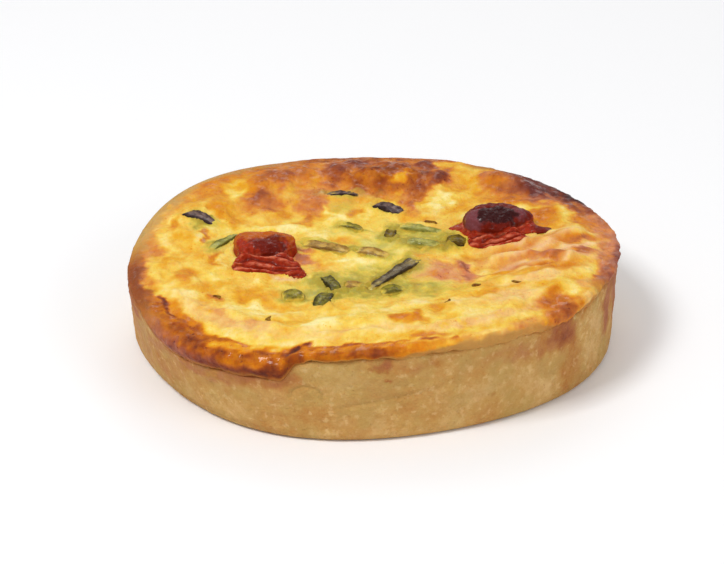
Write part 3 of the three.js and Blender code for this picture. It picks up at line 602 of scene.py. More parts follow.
class Form:
    """The quiche's main curves, in millimetres, for arrays of angles in radians."""

    gap = 0.3
    floor = 3.6
    base_round = 2.0
    rim_round = 1.0
    rim_swell = 0.12
    tucked_edge = 2.0
    tucked_lift = 0.75
    lap_past_wall = 0.15
    drip_bulge = 0.7

    # Shares of the way out to the lip: the basin's edge, the ridge's crest, and where the relief fades.
    basin_at = 0.42
    ridge_at = 0.85
    fade_at = 0.88

    def __init__(self, sizes):
        for key in ("rim_radius", "base_radius", "rim_height", "wall_thickness", "basin_level"):
            setattr(self, key, getattr(sizes, key) / MM)
        self.ridge_above_rim = sizes.ridge_above_rim / MM
        self.lip_above_rim = sizes.lip_above_rim / MM
        self.relief = sizes.relief

    def spill_share(self, spill, angle):
        start, end = spill[2], spill[3]
        along = (np.degrees(angle) - spill[0]) % 360
        span = spill[1] - spill[0]
        return smooth(along, 0, start) * (1 - smooth(along, span - end, span))

    def spilled(self, angle, column):
        return sum(spill[column] * self.spill_share(spill, angle) for spill in SPILLS)

    def lap(self, angle):
        return np.minimum(1, sum(self.spill_share(spill, angle) for spill in SPILLS))

    def crown(self, angle):
        return self.rim_height + lobes(HEIGHT_LOBES, angle)

    def rim(self, angle):
        return self.crown(angle) - self.spilled(angle, DIP)

    def outer(self, angle, height):
        base = self.base_radius + lobes(BASE_LOBES, angle)
        return between(base, self.rim_radius + lobes(RIM_LOBES, angle), height / self.rim_height)

    def inner(self, angle, height):
        return self.outer(angle, height) - self.wall_thickness

    def lip_height(self, angle):
        lapped = self.crown(angle) + self.lip_above_rim - self.spilled(angle, SLUMP)
        return between(self.crown(angle) + self.tucked_lift, lapped, self.lap(angle))

    def lip_radius(self, angle):
        rim = self.rim(angle)
        tucked = self.inner(angle, rim) + self.tucked_edge
        return between(tucked, self.outer(angle, rim) + self.lap_past_wall, self.lap(angle))

    def top(self, angle, share):
        """Height of the baked top at a share of the way out to the lip, before the fine relief."""
        ridge = self.crown(angle) + self.ridge_above_rim
        rising = between(self.basin_level, ridge, smooth(share, self.basin_at, self.ridge_at))
        level = between(rising, self.lip_height(angle), smooth(share, self.ridge_at, 1))
        x = share * self.lip_radius(angle) * np.cos(angle)
        y = share * self.lip_radius(angle) * np.sin(angle)
        fade = 1 - smooth(share, self.fade_at, 1)
        return level + fade * sum(row[5] * hump(row, x, y) for row in RELIEF)

    def top_at(self, x, y):
        angle = np.arctan2(y, x)
        return self.top(angle, np.hypot(x, y) / self.lip_radius(angle))

    def fine(self, x, y, share):
        """Lumps, folds and wrinkles of the top."""
        points = flat_points(x, y)
        wander_x = x + 1.6 * lumps(points, 6, 31)
        wander_y = y + 1.6 * lumps(points, 6, 32)
        fine = sum(row[5] * hump(row, wander_x, wander_y, 0.1, 1.1) for row in FINE_RELIEF)
        fine = fine + 0.4 * rough(points, 8, 2, 1) + 0.3 * self.grain(points)
        fine = fine + 0.28 * self.pleats(x, y)
        blistered = hump(BLISTERED, x, y, 0.4, 1.1)
        fine = fine + 0.5 * blistered * np.abs(rough(points, 2.6, 2, 60))
        return self.relief * fine * (1 - 0.6 * smooth(share, 0.92, 1))

    @staticmethod
    def grain(points):
        """The small lumps of the top, which its colour follows too."""
        return rough(points * [1, 0.75, 1], 3.0, 2, 5)

    @staticmethod
    def pleats(x, y):
        """Creases from side to side near the right edge, from -1 in the valleys to 1 on the crests."""
        points = flat_points(x, y)
        wave = np.sin(y * 0.85 - x * 0.22 + 3.2 * lumps(points, 13, 40) + 1.9 * lumps(points, 4.5, 41))
        return hump(PLEATED, x, y, 0.3, 1.2) * wave


def apart(angle, direction):
    """How many degrees an angle in radians is from a direction in degrees."""
    return np.abs((np.degrees(angle) - direction + 180) % 360 - 180)


class Tomato:
    """Curves of one tomato half: its dome, and the skirt of skin that slumped down from it."""

    sunk = 2.2
    slump_fade = 30
    skirt_lift = 0.5
    folds = 3
    fold_depth = 0.35
    dimple = 0.5
    collar = 0.7

    def __init__(self, row):
        self.node, self.x, self.y, self.long, self.wide, self.top = row[:6]
        self.slumps, self.span, self.reach, self.points, self.shoulder, self.roundness = row[6:]

    def dome(self, angle):
        even = self.long * self.wide / np.hypot(self.wide * np.cos(angle), self.long * np.sin(angle))
        return even * (1 + 0.05 * np.sin(3 * angle + 0.6) + 0.035 * np.sin(5 * angle + self.long))

    def slump(self, angle):
        return 1 - smooth(apart(angle, self.slumps), self.span, self.span + self.slump_fade)

    def skirt(self, angle):
        radius = between(self.dome(angle) * 1.04, self.reach, self.slump(angle))
        for direction, reach, spread in self.points:
            radius = between(radius, reach, np.exp(-((apart(angle, direction) / spread) ** 2)))
        return radius


def depth_inside(x, y):
    """For each topping, how many millimetres inside its outline a place is, and how high it stands."""
    for row in TOMATOES:
        tomato = Tomato(row)
        radius = tomato.skirt(np.arctan2(y - tomato.y, x - tomato.x))
        yield radius - np.hypot(x - tomato.x, y - tomato.y), tomato.collar
    for _, row_x, row_y, long, wide, _, turn, _, proud, taper in VEGETABLES:
        along, across = turned(x, y, row_x, row_y, turn)
        u = along / (long / 2)
        narrowing = 1 - taper * 0.5 * (1 + np.clip(u, -1, 1))
        v = across / (wide / 2 * narrowing)
        yield (1 - (u**4 + v**4) ** 0.25) * wide / 2, proud


class Link:
    """A node's output that takes part in sums: each operator adds one Math node."""

    def __init__(self, look, socket):
        self.look = look
        self.socket = socket

    def math(self, operation, first, second):
        return self.look.node("ShaderNodeMath", {"operation": operation}, {0: first, 1: second})

    def __add__(self, other):
        return self.math("ADD", self, other)

    def __sub__(self, other):
        return self.math("SUBTRACT", self, other)

    def __rsub__(self, other):
        return self.math("SUBTRACT", other, self)

    def __mul__(self, other):
        return self.math("MULTIPLY", self, other)

    __radd__ = __add__
    __rmul__ = __mul__

    def above(self, low, high):
        """0 below low, 1 above high, and smooth between."""
        settings = {"interpolation_type": "SMOOTHSTEP"}
        sockets = {"Value": self, "From Min": low, "From Max": high}
        return self.look.node("ShaderNodeMapRange", settings, sockets)


class Look:
    """A procedural material. Constants go straight onto its shader, and what varies is linked to it."""

    def __init__(self, name, **constants):
        self.material = bpy.data.materials.new(name)
        self.material.use_nodes = True
        self.tree = self.material.node_tree
        self.shader = self.tree.nodes["Principled BSDF"]
        for key, value in constants.items():
            self.shader.inputs[key.replace("_", " ").title().replace("Ior", "IOR")].default_value = value
        self.place = self.node("ShaderNodeTexCoord", output="Object")

    def node(self, kind, settings=None, sockets=None, output=0):
        made = self.tree.nodes.new(kind)
        for key, value in (settings or {}).items():
            if key == "stops":
                self.set_stops(made.color_ramp, value)
            else:
                setattr(made, key, value)
        for key, value in (sockets or {}).items():
            if isinstance(value, Link):
                self.tree.links.new(value.socket, made.inputs[key])
            else:
                made.inputs[key].default_value = value
        return Link(self, made.outputs[output])

    @staticmethod
    def set_stops(ramp, stops):
        while len(ramp.elements) < len(stops):
            ramp.elements.new(0.5)
        for element, (position, colour) in zip(ramp.elements, stops):
            element.position = position
            element.color = (*colour, 1)

    def mask(self, name):
        return self.node("ShaderNodeAttribute", {"attribute_name": name}, output="Fac")

    def noise(self, size, detail=2.0, stretch=(1, 1, 1), seed=0.0):
        """Noise from 0 to 1 with features of about size millimetres, stretched along the axes."""
        scale = tuple(1 / (size * MM * s) for s in stretch)
        away = (seed, seed * 0.7, seed * 1.3)
        sockets = {"Vector": self.place, "Scale": scale, "Location": away}
        placed = self.node("ShaderNodeMapping", None, sockets)
        return self.node("ShaderNodeTexNoise", None, {"Vector": placed, "Scale": 1.0, "Detail": detail})

    def cells(self, size):
        """Distance from the nearest of many scattered points, in cells of about size millimetres."""
        sockets = {"Vector": self.place, "Scale": 1 / (size * MM)}
        return self.node("ShaderNodeTexVoronoi", None, sockets)

    def ramp(self, value, stops):
        return self.node("ShaderNodeValToRGB", {"stops": stops}, {0: value})

    def mix(self, first, second, factor):
        """A colour between two: Mix keeps one socket for the factor and two for colours."""
        first = first if isinstance(first, Link) else (*first, 1)
        second = second if isinstance(second, Link) else (*second, 1)
        return self.node("ShaderNodeMix", {"data_type": "RGBA"}, {0: factor, 6: first, 7: second}, output=2)

    def link(self, key, value):
        self.tree.links.new(value.socket, self.shader.inputs[key])

    def finish(self, colour, roughness, height, depth):
        """Links the colour, the roughness and a bump whose height is depth millimetres."""
        bump = self.node("ShaderNodeBump", None, {"Height": height, "Distance": depth * MM, "Strength": 1.0})
        self.link("Base Color", colour)
        self.link("Roughness", roughness)
        self.link("Normal", bump)
        return self.material


def pastry_stops(colours):
    return [
        (0.0, colours.pastry_pale),
        (0.3, colours.pastry),
        (0.52, colours.pastry_tan),
        (0.78, colours.pastry_brown),
        (1.0, colours.pastry_dark),
    ]


def custard_look(colours):
    look = Look(
        "baked_filling",
        subsurface_weight=0.12,
        subsurface_scale=0.002,
        specular_ior_level=0.1,
        coat_roughness=0.08,
    )
    stops = [
        (0.0, colours.cream),
        (0.15, colours.custard),
        (0.3, colours.gold),
        (0.48, colours.orange),
        (0.66, colours.brown),
        (0.84, colours.maroon),
        (1.0, colours.char),
    ]
    blotches = (look.noise(3.0, 2.0, stretch=(1, 1.5, 1)) - 0.5) * 0.3
    mottle = (look.noise(1.0, 3.0, stretch=(1, 1.4, 1), seed=4.0) - 0.5) * 0.16
    freckled = look.noise(7.0, 2.0, seed=2.0).above(0.46, 0.6)
    freckles = look.noise(0.8, 2.0, seed=9.0).above(0.62, 0.72) * freckled
    bake = look.mask("bake") + blotches + mottle + freckles * 0.16
    colour = look.ramp(bake, stops)
    bloom = look.ramp(bake, [(0.1, colours.peach), (0.45, colours.rose), (0.8, colours.plum)])
    rosy = look.mask("rosy") * look.noise(2.2, 3.0, seed=6.0).above(0.2, 0.55)
    colour = look.mix(colour, bloom, rosy * 0.85)
    amber = look.mask("amber") * (1.0 - bake.above(0.6, 0.85))
    amber = amber * look.noise(2.4, 3.0, seed=7.0).above(0.3, 0.66)
    colour = look.mix(colour, colours.amber, amber * 0.6)
    soaked = look.mask("juice") * (look.noise(2.6, 3.0, seed=8.0) * 1.6 + 0.2)
    juices = [(0.25, colours.juice_pale), (0.6, colours.juice), (1.0, colours.juice_and_shade_dark)]
    colour = look.mix(colour, look.ramp(soaked, juices), soaked.above(0.05, 0.75) * 0.75)
    colour = look.mix(colour, look.ramp(look.mask("wall"), pastry_stops(colours)), look.mask("crust"))
    glossy = look.mask("wet") * look.noise(1.8, 2.0, seed=3.0).above(0.5, 0.62)
    roughness = 0.56 - glossy * 0.2
    height = look.noise(1.3, 2.0, stretch=(1, 1.4, 1), seed=1.0) + look.cells(1.6) * 0.3
    look.link("Coat Weight", glossy * 0.4)
    return look.finish(colour, roughness, height, 0.42)


def pastry_look(colours):
    look = Look("baked_pastry", subsurface_weight=0.08, subsurface_scale=0.0015, specular_ior_level=0.3)
    mottle = (look.noise(6.0, 4.0) - 0.5) * 0.4 + (look.noise(1.6, 3.0, seed=5.0) - 0.5) * 0.3
    mottle = mottle + (look.noise(0.5, 2.0, seed=15.0) - 0.5) * 0.18
    bake = look.mask("bake") + mottle
    colour = look.ramp(bake, pastry_stops(colours))
    flour = look.noise(1.6, 4.0, seed=11.0).above(0.55, 0.7)
    plain = 1.0 - bake.above(0.42, 0.7)
    colour = look.mix(colour, colours.pastry_pale, flour * plain * 0.5)
    olive = look.noise(7.0, 3.0, seed=21.0).above(0.46, 0.66)
    colour = look.mix(colour, colours.pastry_olive, olive * plain * 0.45)
    rosy = look.mask("rosy") * look.noise(3.0, 3.0, seed=31.0).above(0.3, 0.62)
    colour = look.mix(colour, colours.pastry_rose, rosy * 0.7)
    pits = look.cells(1.6).above(0.0, 0.22)
    colour = look.mix(colours.pastry_tan, colour, pits * 0.35 + 0.65)
    specks = look.noise(0.7, 2.0, seed=41.0).above(0.68, 0.74)
    colour = look.mix(colour, colours.pastry_brown, specks * 0.35)
    roughness = look.noise(1.5, 2.0, seed=3.0) * 0.2 + 0.66
    height = look.noise(0.8, 4.0, seed=1.0) + pits * 0.3 + look.noise(3.0, 2.0, seed=51.0) * 0.8
    return look.finish(colour, roughness, height, 0.36)


def tomato_look(colours):
    look = Look(
        "roast_tomato",
        subsurface_weight=0.1,
        subsurface_scale=0.0015,
        specular_ior_level=0.08,
        coat_roughness=0.08,
    )
    mottle = look.noise(1.1, 3.0) - 0.5
    # Darker streaks running down the skin: partly its own colour, partly painted shade of its fine wrinkles.
    streaks = look.noise(0.8, 3.0, stretch=(1, 1, 3), seed=4.0).above(0.4, 0.7)
    colour = look.mix(colours.tomato, colours.tomato_dark, streaks * 0.5)
    amber = (look.mask("amber") + mottle * 0.6).above(0.2, 0.8)
    colour = look.mix(colour, colours.tomato_amber, amber * 0.85)
    # Painted highlight on the crests of the skirt's folds and along the seam at the dome's foot.
    bright = look.mask("bright") * look.noise(0.9, 2.0, stretch=(2.4, 1, 1), seed=7.0).above(0.36, 0.62)
    colour = look.mix(colour, colours.tomato_highlight, bright * 0.6)
    # Painted shade in the valleys of the skirt's folds and between the dome's ribs.
    colour = look.mix(colour, colours.tomato_dark, look.mask("fold") * 0.8)
    dark = (look.mask("dark") + mottle * 0.6).above(0.2, 0.8)
    colour = look.mix(colour, colours.tomato_dark, dark * 0.9)
    # Painted purple sheen on the sides of the right tomato's dome.
    bloom = (look.mask("bloom") + mottle * 0.7).above(0.25, 0.8)
    colour = look.mix(colour, colours.tomato_sheen, bloom * 0.8)
    char = (look.mask("char") + mottle * 0.7).above(0.3, 0.7)
    colour = look.mix(colour, colours.tomato_char, char)
    glossy = look.noise(1.1, 3.0, seed=3.0).above(0.5, 0.62)
    roughness = 0.46 - glossy * 0.26
    look.link("Coat Weight", glossy * 0.35)
    height = look.noise(0.9, 3.0, stretch=(1, 1, 2.5), seed=1.0)
    return look.finish(colour, roughness, height, 0.3)


# Looks of the vegetables: the dark rind at their edges, their skin and their cooked flesh.
VEGETABLE_LOOKS = {
    "aubergine": ((40, 26, 28), (60, 44, 46), (122, 98, 90)),
    "leek": ((84, 82, 26), (128, 126, 48), (174, 170, 90)),
    "courgette": ((38, 34, 14), (70, 62, 24), (138, 128, 36)),
    "onion": ((84, 54, 24), (146, 108, 48), (200, 160, 76)),
    "strip": ((46, 34, 20), (84, 68, 44), (132, 118, 92)),
    "pepper": ((50, 34, 4), (88, 66, 8), (130, 108, 20)),
}


def vegetable_look(kind, colours):
    rind, skin, flesh = (linear(*colour) for colour in VEGETABLE_LOOKS[kind])
    look = Look(
        "cooked_" + kind,
        subsurface_weight=0.03,
        subsurface_scale=0.002,
        specular_ior_level=0.08,
        coat_roughness=0.08,
    )
    patches = look.noise(1.8, 3.0, seed=len(kind)).above(0.3, 0.66)
    colour = look.mix(skin, flesh, look.mask("flesh") * patches)
    fibres = look.noise(0.5, 2.0, stretch=(3, 3, 1), seed=2.0).above(0.42, 0.68)
    colour = look.mix(colour, flesh, fibres * 0.3)
    colour = look.mix(colour, rind, look.mask("rind") * 0.85)
    stains = look.noise(1.4, 3.0, seed=6.0).above(0.52, 0.68)
    colour = look.mix(colour, rind, stains * 0.5)
    film = look.mix(colours.juice, colours.custard, look.noise(1.5, 2.0, seed=12.0).above(0.3, 0.6))
    cover = (look.mask("film") + (look.noise(1.6, 3.0, seed=14.0) - 0.5) * 0.8).above(0.2, 1.1)
    colour = look.mix(colour, film, cover * 0.8)
    glossy = look.noise(1.2, 3.0, seed=3.0).above(0.48, 0.62)
    look.link("Coat Weight", glossy * 0.4)
    return look.finish(colour, 0.5 - glossy * 0.25, look.noise(0.7, 3.0, seed=1.0), 0.25)


def herb_look(colours):
    look = Look("herb_fleck", specular_ior_level=0.05)
    colour = look.mix(colours.herb_dark, colours.herb_pale, look.noise(0.8, 2.0).above(0.35, 0.7))
    return look.finish(colour, look.noise(0.5) * 0.2 + 0.5, look.noise(0.4, 2.0), 0.1)


def sizes():
    return bpy.context.scene.quiche_sizes


def colours():
    return bpy.context.scene.quiche_colours


def make_piece(name, points, faces, material, nodes, slot, masks=None):
    """Makes a smooth mesh object from millimetre points and puts it in the frame."""
    mesh = bpy.data.meshes.new(name)
    mesh.from_pydata(((points + CENTRING) * MM).tolist(), [], faces)
    mesh.shade_smooth()
    for key, values in (masks or {}).items():
        mesh.attributes.new(key, "FLOAT", "POINT").data.foreach_set("value", np.asarray(values, np.float32))
    mesh.materials.append(material)
    piece = bpy.data.objects.new(name, mesh)
    bpy.context.scene.collection.objects.link(piece)
    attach(piece, "root")
    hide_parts(*nodes)


def ring_faces(rings, around):
    """Faces of a closed body of rings between a first point and a last one, with the first point lowest."""
    last = rings * around + 1
    faces = []
    for step in range(around):
        after = (step + 1) % around
        faces.append((0, 1 + after, 1 + step))
        faces.append((last, last - around + step, last - around + after))
    for ring in range(rings - 1):
        low, high = 1 + ring * around, 1 + (ring + 1) * around
        for step in range(around):
            after = (step + 1) % around
            faces.append((low + step, low + after, high + after, high + step))
    return faces


def ring_body(first, rings, last):
    """Points of a closed body: a first point, rings of points, and a last point."""
    return np.concatenate([[first], rings.reshape(-1, 3), [last]])


def ring_masks(fields, first=0.0):
    """Values for a ring body's points: first for its first point, and the last ring's mean for its last."""
    return {
        key: np.concatenate([[first], np.ravel(field), [field[-1].mean()]])
        for key, field in fields.items()
    }


def closed_rings(rings):
    """Points of a body whose ends are closed at the middle of its first and last rings."""
    return ring_body(rings[0].mean(axis=0), rings, rings[-1].mean(axis=0))


def ball(rings, around):
    """Rings of a unit ball from its bottom to its top, without the two poles."""
    angle = full_turn(around)
    tilt = np.linspace(np.pi, 0, rings + 2)[1:-1, None]
    return flat_points(np.sin(tilt) * np.cos(angle), np.sin(tilt) * np.sin(angle), np.cos(tilt))


def pastry_masks(form, angle, rings):
    """How brown and how rosy the pastry is at points on its wall."""
    height = rings[..., 2]
    level = by_angle(RIM_BAKE, angle, 1)
    depth = by_angle(RIM_BAKE, angle, 2)
    down = (form.rim(angle) - height) / depth
    rim_bake = level * (1 - smooth(down + 0.28 * rough(rings, 3.2, 3, 30), 0.05, 1.0))
    fields = {
        "bake": np.maximum(0.3 + 0.07 * rough(rings, 9, 3, 33), rim_bake),
        "rosy": 0.1 + 0.1 * rough(rings, 8, 2, 35),
    }
    degrees = np.degrees(angle) + 1.4 * rough(rings, 5, 3, 36)
    stain_height = height + 1.2 * rough(rings, 4, 3, 38)
    lay(fields, WALL_STAINS, 4, lambda row: 0.9 * oval(row, degrees, stain_height))
    return fields


class QUICHE_OT_pastry_case(bpy.types.Operator):
    """Builds the pastry case with its browned, uneven rim"""

    bl_idname = "quiche.pastry_case"
    bl_label = "Pastry case"

    around = 720
    wall_rows = 40
    underside_bake = 0.3

    # The crescent pressed into the wall: direction in degrees, height, radius and width of its line, then
    # how deep it is and how many millimetres of wall make a degree.
    dent_at = 255
    dent_height = 11.5
    dent_radius = 3.6
    dent_line = 0.5
    dent_depth = 0.55
    mm_per_degree = 1.03

    def execute(self, context):
        form = Form(sizes())
        angle = full_turn(self.around)
        radius, height, amount = self.section(form, angle)
        rings = self.weathered(form, angle, radius, height, amount)
        floor = np.array([0, 0, form.floor])
        points = ring_body(np.zeros(3), rings, floor)
        masks = ring_masks(pastry_masks(form, angle, rings), self.underside_bake)
        faces = ring_faces(len(rings), self.around)
        make_piece("pastry_shell", points, faces, pastry_look(colours()), ["pastry_case"], "pastry", masks)
        return {"FINISHED"}

    def section(self, form, angle):
        """Radius and height of each ring from foot over rim to floor, and how weathered it is."""
        rim = form.rim(angle)
        foot = form.outer(angle, 0)
        rows = [(foot * share, 0 * angle, 0.0) for share in (0.5, 0.8, 0.93)]
        for turn in np.radians([0, 22, 45, 68, 90]):
            radius = foot - form.base_round * (1 - math.sin(turn)) + form.base_round * 0.02
            rows.append((radius, form.base_round * (1 - math.cos(turn)) + 0 * angle, 0.4))
        for share in np.linspace(0.03, 1, self.wall_rows):
            height = between(form.base_round, rim - form.rim_round, share)
            rows.append((form.outer(angle, height), height, 1.0))
        top_out = form.outer(angle, rim) - form.rim_round
        for turn in np.radians([30, 60, 90]):
            height = rim - form.rim_round * (1 - math.sin(turn))
            rows.append((top_out + form.rim_round * math.cos(turn), height, 1.0))
        top_in = form.inner(angle, rim) + form.rim_round
        rows.append((between(top_out, top_in, 0.5), rim + form.rim_swell, 1.0))
        for turn in np.radians([90, 60, 30, 0]):
            height = rim - form.rim_round * (1 - math.sin(turn))
            rows.append((top_in - form.rim_round * math.cos(turn), height, 1.0))
        for share in (0.3, 0.7):
            height = between(rim - form.rim_round, form.floor + form.base_round, share)
            rows.append((form.inner(angle, height), height, 0.0))
        rows.append((form.inner(angle, form.floor) - form.base_round, form.floor + 0 * angle, 0.0))
        radius, height, amount = zip(*rows)
        return np.array(radius), np.array(height), np.array(amount)[:, None]

    def weathered(self, form, angle, radius, height, amount):
        """The case's rings with the lumps, dents and ragged rim of baked dough."""
        points = round_points(radius, angle, height)
        rim = form.rim(angle)
        near_rim = smooth(height, rim - 2.5, rim)
        push = 0.16 * rough(points, 5, 2, 3) + 0.1 * rough(points, 1.7, 3, 8)
        push = push + 0.22 * near_rim * rough(points, 2.2, 2, 14)
        push = push - self.dent_depth * self.dent(angle, height)
        ragged = rough(points * [1, 1, 0], 4, 3, 21)
        radius = radius + form.relief * amount * push
        height = height + form.relief * amount * near_rim * 0.28 * ragged
        return round_points(radius, angle, np.maximum(height, 0))

    def dent(self, angle, height):
        """A small crescent pressed into the wall at the front, and a shallow crease that runs on from it."""
        degrees = np.degrees(angle)
        across = (degrees - self.dent_at) * self.mm_per_degree
        up = height - self.dent_height
        crescent = np.exp(-(((np.hypot(across, up * 1.6) - self.dent_radius) / self.dent_line) ** 2))
        crescent = crescent * (up > -0.5) * (np.abs(across) < 4)
        crease = np.exp(-(((height - 8.6 - 0.16 * (degrees - 262)) / self.dent_line) ** 2))
        crease = crease * smooth(degrees, 258, 266) * (1 - smooth(degrees, 280, 292))
        return crescent + 0.7 * crease


class QUICHE_OT_filling(bpy.types.Operator):
    """Builds the baked filling: its top with folds and blisters, and the edge that ran over the rim"""

    bl_idname = "quiche.filling"
    bl_label = "Filling"

    around = 640
    top_rings = 112
    edge_rows = 12
    off_wall = 0.04
    dip_under_toppings = 1.2
    mm_per_degree = 1.04

    # Bubbles in the edge: angle, height, size, rise.
    bubbles = [
        (243.5, 22.0, 1.7, 0.8), (248.3, 22.2, 1.9, 0.9), (238.0, 20.6, 1.5, 0.5), (231.0, 21.0, 2.0, 0.4),
        (224.0, 20.0, 2.2, 0.4), (252.0, 21.4, 1.6, 0.6), (262.0, 22.2, 1.8, 0.4), (270.0, 22.4, 2.4, 0.4),
    ]

    def execute(self, context):
        form = Form(sizes())
        angle = full_turn(self.around)
        below = self.hidden_rows(form, angle)
        edge = self.edge(form, angle)
        top, share = self.top(form, angle)
        rings = np.concatenate([below, edge, top])
        shares = np.concatenate([np.ones((len(below) + len(edge), self.around)), share])
        up_side = [np.zeros(len(below)), np.linspace(0, 0.999, len(edge)), np.ones(len(top))]
        side = np.concatenate(up_side)[:, None] + 0 * shares
        fields = self.masks(form, angle, rings, shares, side)
        fields["wall"] = pastry_masks(form, angle, rings)["bake"]
        points = ring_body(np.array([0, 0, form.floor + form.gap]), rings, top[-1].mean(axis=0))
        faces = ring_faces(len(rings), self.around)
        look = custard_look(colours())
        make_piece("baked_filling", points, faces, look, ["filling"], "custard", ring_masks(fields))
        return {"FINISHED"}

    @staticmethod
    def hidden_rows(form, angle):
        floor = form.floor + form.gap
        above_round = floor + form.base_round
        rim = form.rim(angle)
        rows = [
            (form.inner(angle, floor) - form.base_round - form.gap, floor),
            (form.inner(angle, above_round) - form.gap, above_round),
            (form.inner(angle, rim - form.rim_round) - form.gap, rim - form.rim_round),
            (form.inner(angle, rim) + 0.5, rim - 0.4),
        ]
        return np.array([round_points(radius, angle, height) for radius, height in rows])

    def edge(self, form, angle):
        """The side of the filling where it laps over the rim, from its ragged lower edge to the lip."""
        rim = form.rim(angle)
        lip = form.lip_radius(angle)
        lap = form.lap(angle)
        around_lip = round_points(lip, angle, 0.0)
        ragged = 0.45 * rough(around_lip, 3.4, 3, 50) + 0.3 * rough(around_lip, 9, 2, 51)
        under = rim + between(0.05, -0.25 + ragged, lap)
        height_at_lip = form.lip_height(angle)
        drip = form.drip_bulge * form.spilled(angle, BULGE)
        rows = []
        for share in np.linspace(0, 0.94, self.edge_rows):
            height = between(under, height_at_lip, between(share, share**1.6, 1 - lap))
            flush = form.outer(angle, height) + self.off_wall
            out = between(flush, lip, smooth(share, 0.35, 0.9))
            swell = 1.1 * drip * math.sin(math.pi * share)
            swell = swell + 0.2 * smooth(share, 0, 0.4) - 1.1 * smooth(share, 0.72, 1.12)
            tucked = lip + 1.1 * (1 - share) ** 1.4 - 0.6 * share
            radius = between(tucked, out + swell, lap)
            point = round_points(radius, angle, height)
            bump = 0.3 * rough(point, 3.0, 2, 52) + 0.14 * rough(point, 1.2, 2, 55)
            for at, level, size, rise in self.bubbles:
                across = (np.degrees(angle) - at) * self.mm_per_degree
                gap = np.hypot(across, height - level) / size
                bump = bump + rise * np.sqrt(np.clip(1 - gap**2, 0, 1))
            radius = radius + form.relief * between(0.3, 1, lap) * smooth(share, 0, 0.25) * bump
            rows.append(round_points(radius, angle, height))
        return np.array(rows)

    def top(self, form, angle):
        share = (1 - np.arange(self.top_rings) / self.top_rings)[:, None] * np.ones(self.around)
        share = between(share, 0.985 * share, smooth(share, 0.9, 1))
        lip = form.lip_radius(angle)
        x, y = share * lip * np.cos(angle), share * lip * np.sin(angle)
        height = form.top(angle, share) + form.fine(x, y, share)
        height = height + self.round_toppings(x, y)
        return np.stack([x, y, height], axis=-1), share

    def round_toppings(self, x, y):
        """The filling climbs a little round each topping and dips under it."""
        points = flat_points(x, y)
        ragged = rough(points, 2.0, 3, 70)
        change = 0
        for inside, proud in depth_inside(x, y):
            inside = inside + 0.35 * ragged
            under = smooth(inside, 0.15, 0.9)
            collar = smooth(inside, -1.9, 0.1) * (1 - under)
            change = change + collar * proud * (0.62 + 0.4 * ragged) - self.dip_under_toppings * under
        return change

    def masks(self, form, angle, rings, share, side):
        """How baked, rosy, amber, green, crusty and wet the filling is at its points."""
        x, y, height = (rings[..., k] for k in range(3))
        points = flat_points(x, y)
        wander_x = x + 1.5 * rough(points, 4.5, 4, 80)
        wander_y = y + 1.5 * rough(points, 4.5, 4, 90)
        fields = self.top_masks(form, points, wander_x, wander_y)
        juice = 0.75 * sum(row[5] * hump(row, wander_x, wander_y, 0.1, 1.3) for row in GREENED)
        vegetables = list(depth_inside(x, y))[len(TOMATOES) :]
        grain = form.grain(points)
        # Round each vegetable the custard turns greener and browner: partly juice, partly painted shade
        # where the vegetable meets the filling.
        juice_and_shade_beside = sum(smooth(inside + 0.7 * grain, -2.0, 0.4) for inside, _ in vegetables)
        juice = np.minimum(juice, 0.8) + 0.45 * juice_and_shade_beside
        fields["bake"] = fields["bake"] + 0.12 * juice_and_shade_beside
        ragged = 0.012 * rough(rings, 3, 3, 140)
        reach = by_angle(EDGE_BAKE, angle, 3)
        at_edge = smooth(share + ragged, reach - 0.018, reach + 0.018)
        edge_amber = 0.6 + 0.4 * rough(rings, 4, 2, 155)
        edge = (0, by_angle(EDGE_BAKE, angle, 1), by_angle(EDGE_BAKE, angle, 2), edge_amber)
        lay(fields, [edge], 1, lambda row: at_edge)
        down = height - form.lip_height(angle)
        inward = np.where(share < 1, (1 - share) * form.lip_radius(angle), down)
        inward = inward + 0.6 * rough(rings, 2.6, 3, 180)
        degrees = np.degrees(angle) + 0.8 * rough(rings, 3, 3, 170)
        on_edge = smooth(share, 0.84, 0.88)
        lay(fields, EDGE_PATCHES, 4, lambda row: on_edge * oval(row, degrees, inward))
        fields["bake"] = fields["bake"] + 0.07 * at_edge * rough(rings, 2.2, 3, 150)
        lap = form.lap(angle)
        up = by_angle(EDGE_BAKE, angle, 4)
        hem = lap * (1 - smooth(side + 0.1 * rough(rings, 2.4, 3, 160), up - 0.2, up + 0.1))
        hem = hem * (1 - smooth(1 - share, 0, 0.004))
        tucked = (1 - lap) * smooth(share + 2 * ragged, 0.94, 0.985)
        browned = smooth(fields["bake"], 0.35, 0.6)
        fields["crust"] = np.maximum(hem, 0.85 * tucked)
        fields["juice"] = juice * (1 - at_edge)
        fields["wet"] = (0.25 + 0.75 * browned) * smooth(side, 0.5, 1) - hem
        return {key: np.clip(field, 0, 1) for key, field in fields.items()}

    @staticmethod
    def top_masks(form, points, wander_x, wander_y):
        """How baked, rosy and amber the top is, before its edge is laid over it."""
        fields = {
            "bake": 0.17 + 0.08 * rough(points, 6, 4, 100),
            "rosy": 0.05 + 0.1 * rough(points, 6, 2, 110),
            "amber": 0.18 + 0.3 * rough(points, 6, 2, 120),
        }
        lay(fields, BAKED, 5, lambda row: hump(row, wander_x, wander_y, 0.3, 1.2))
        browned = smooth(fields["bake"], 0.3, 0.55)
        pleats = form.pleats(points[..., 0], points[..., 1])
        lumpy = between(-0.07, 0.09, browned) * form.grain(points)
        # The pleats' crests are painted paler and rosier and their valleys browner and more amber: partly
        # the custard's own colour, partly painted light and shade of the folds.
        fields["bake"] = fields["bake"] + lumpy - 0.1 * pleats
        fields["rosy"] = fields["rosy"] + 0.5 * np.clip(pleats, 0, 1)
        fields["amber"] = fields["amber"] + 0.5 * np.clip(-pleats, 0, 1)
        return fields


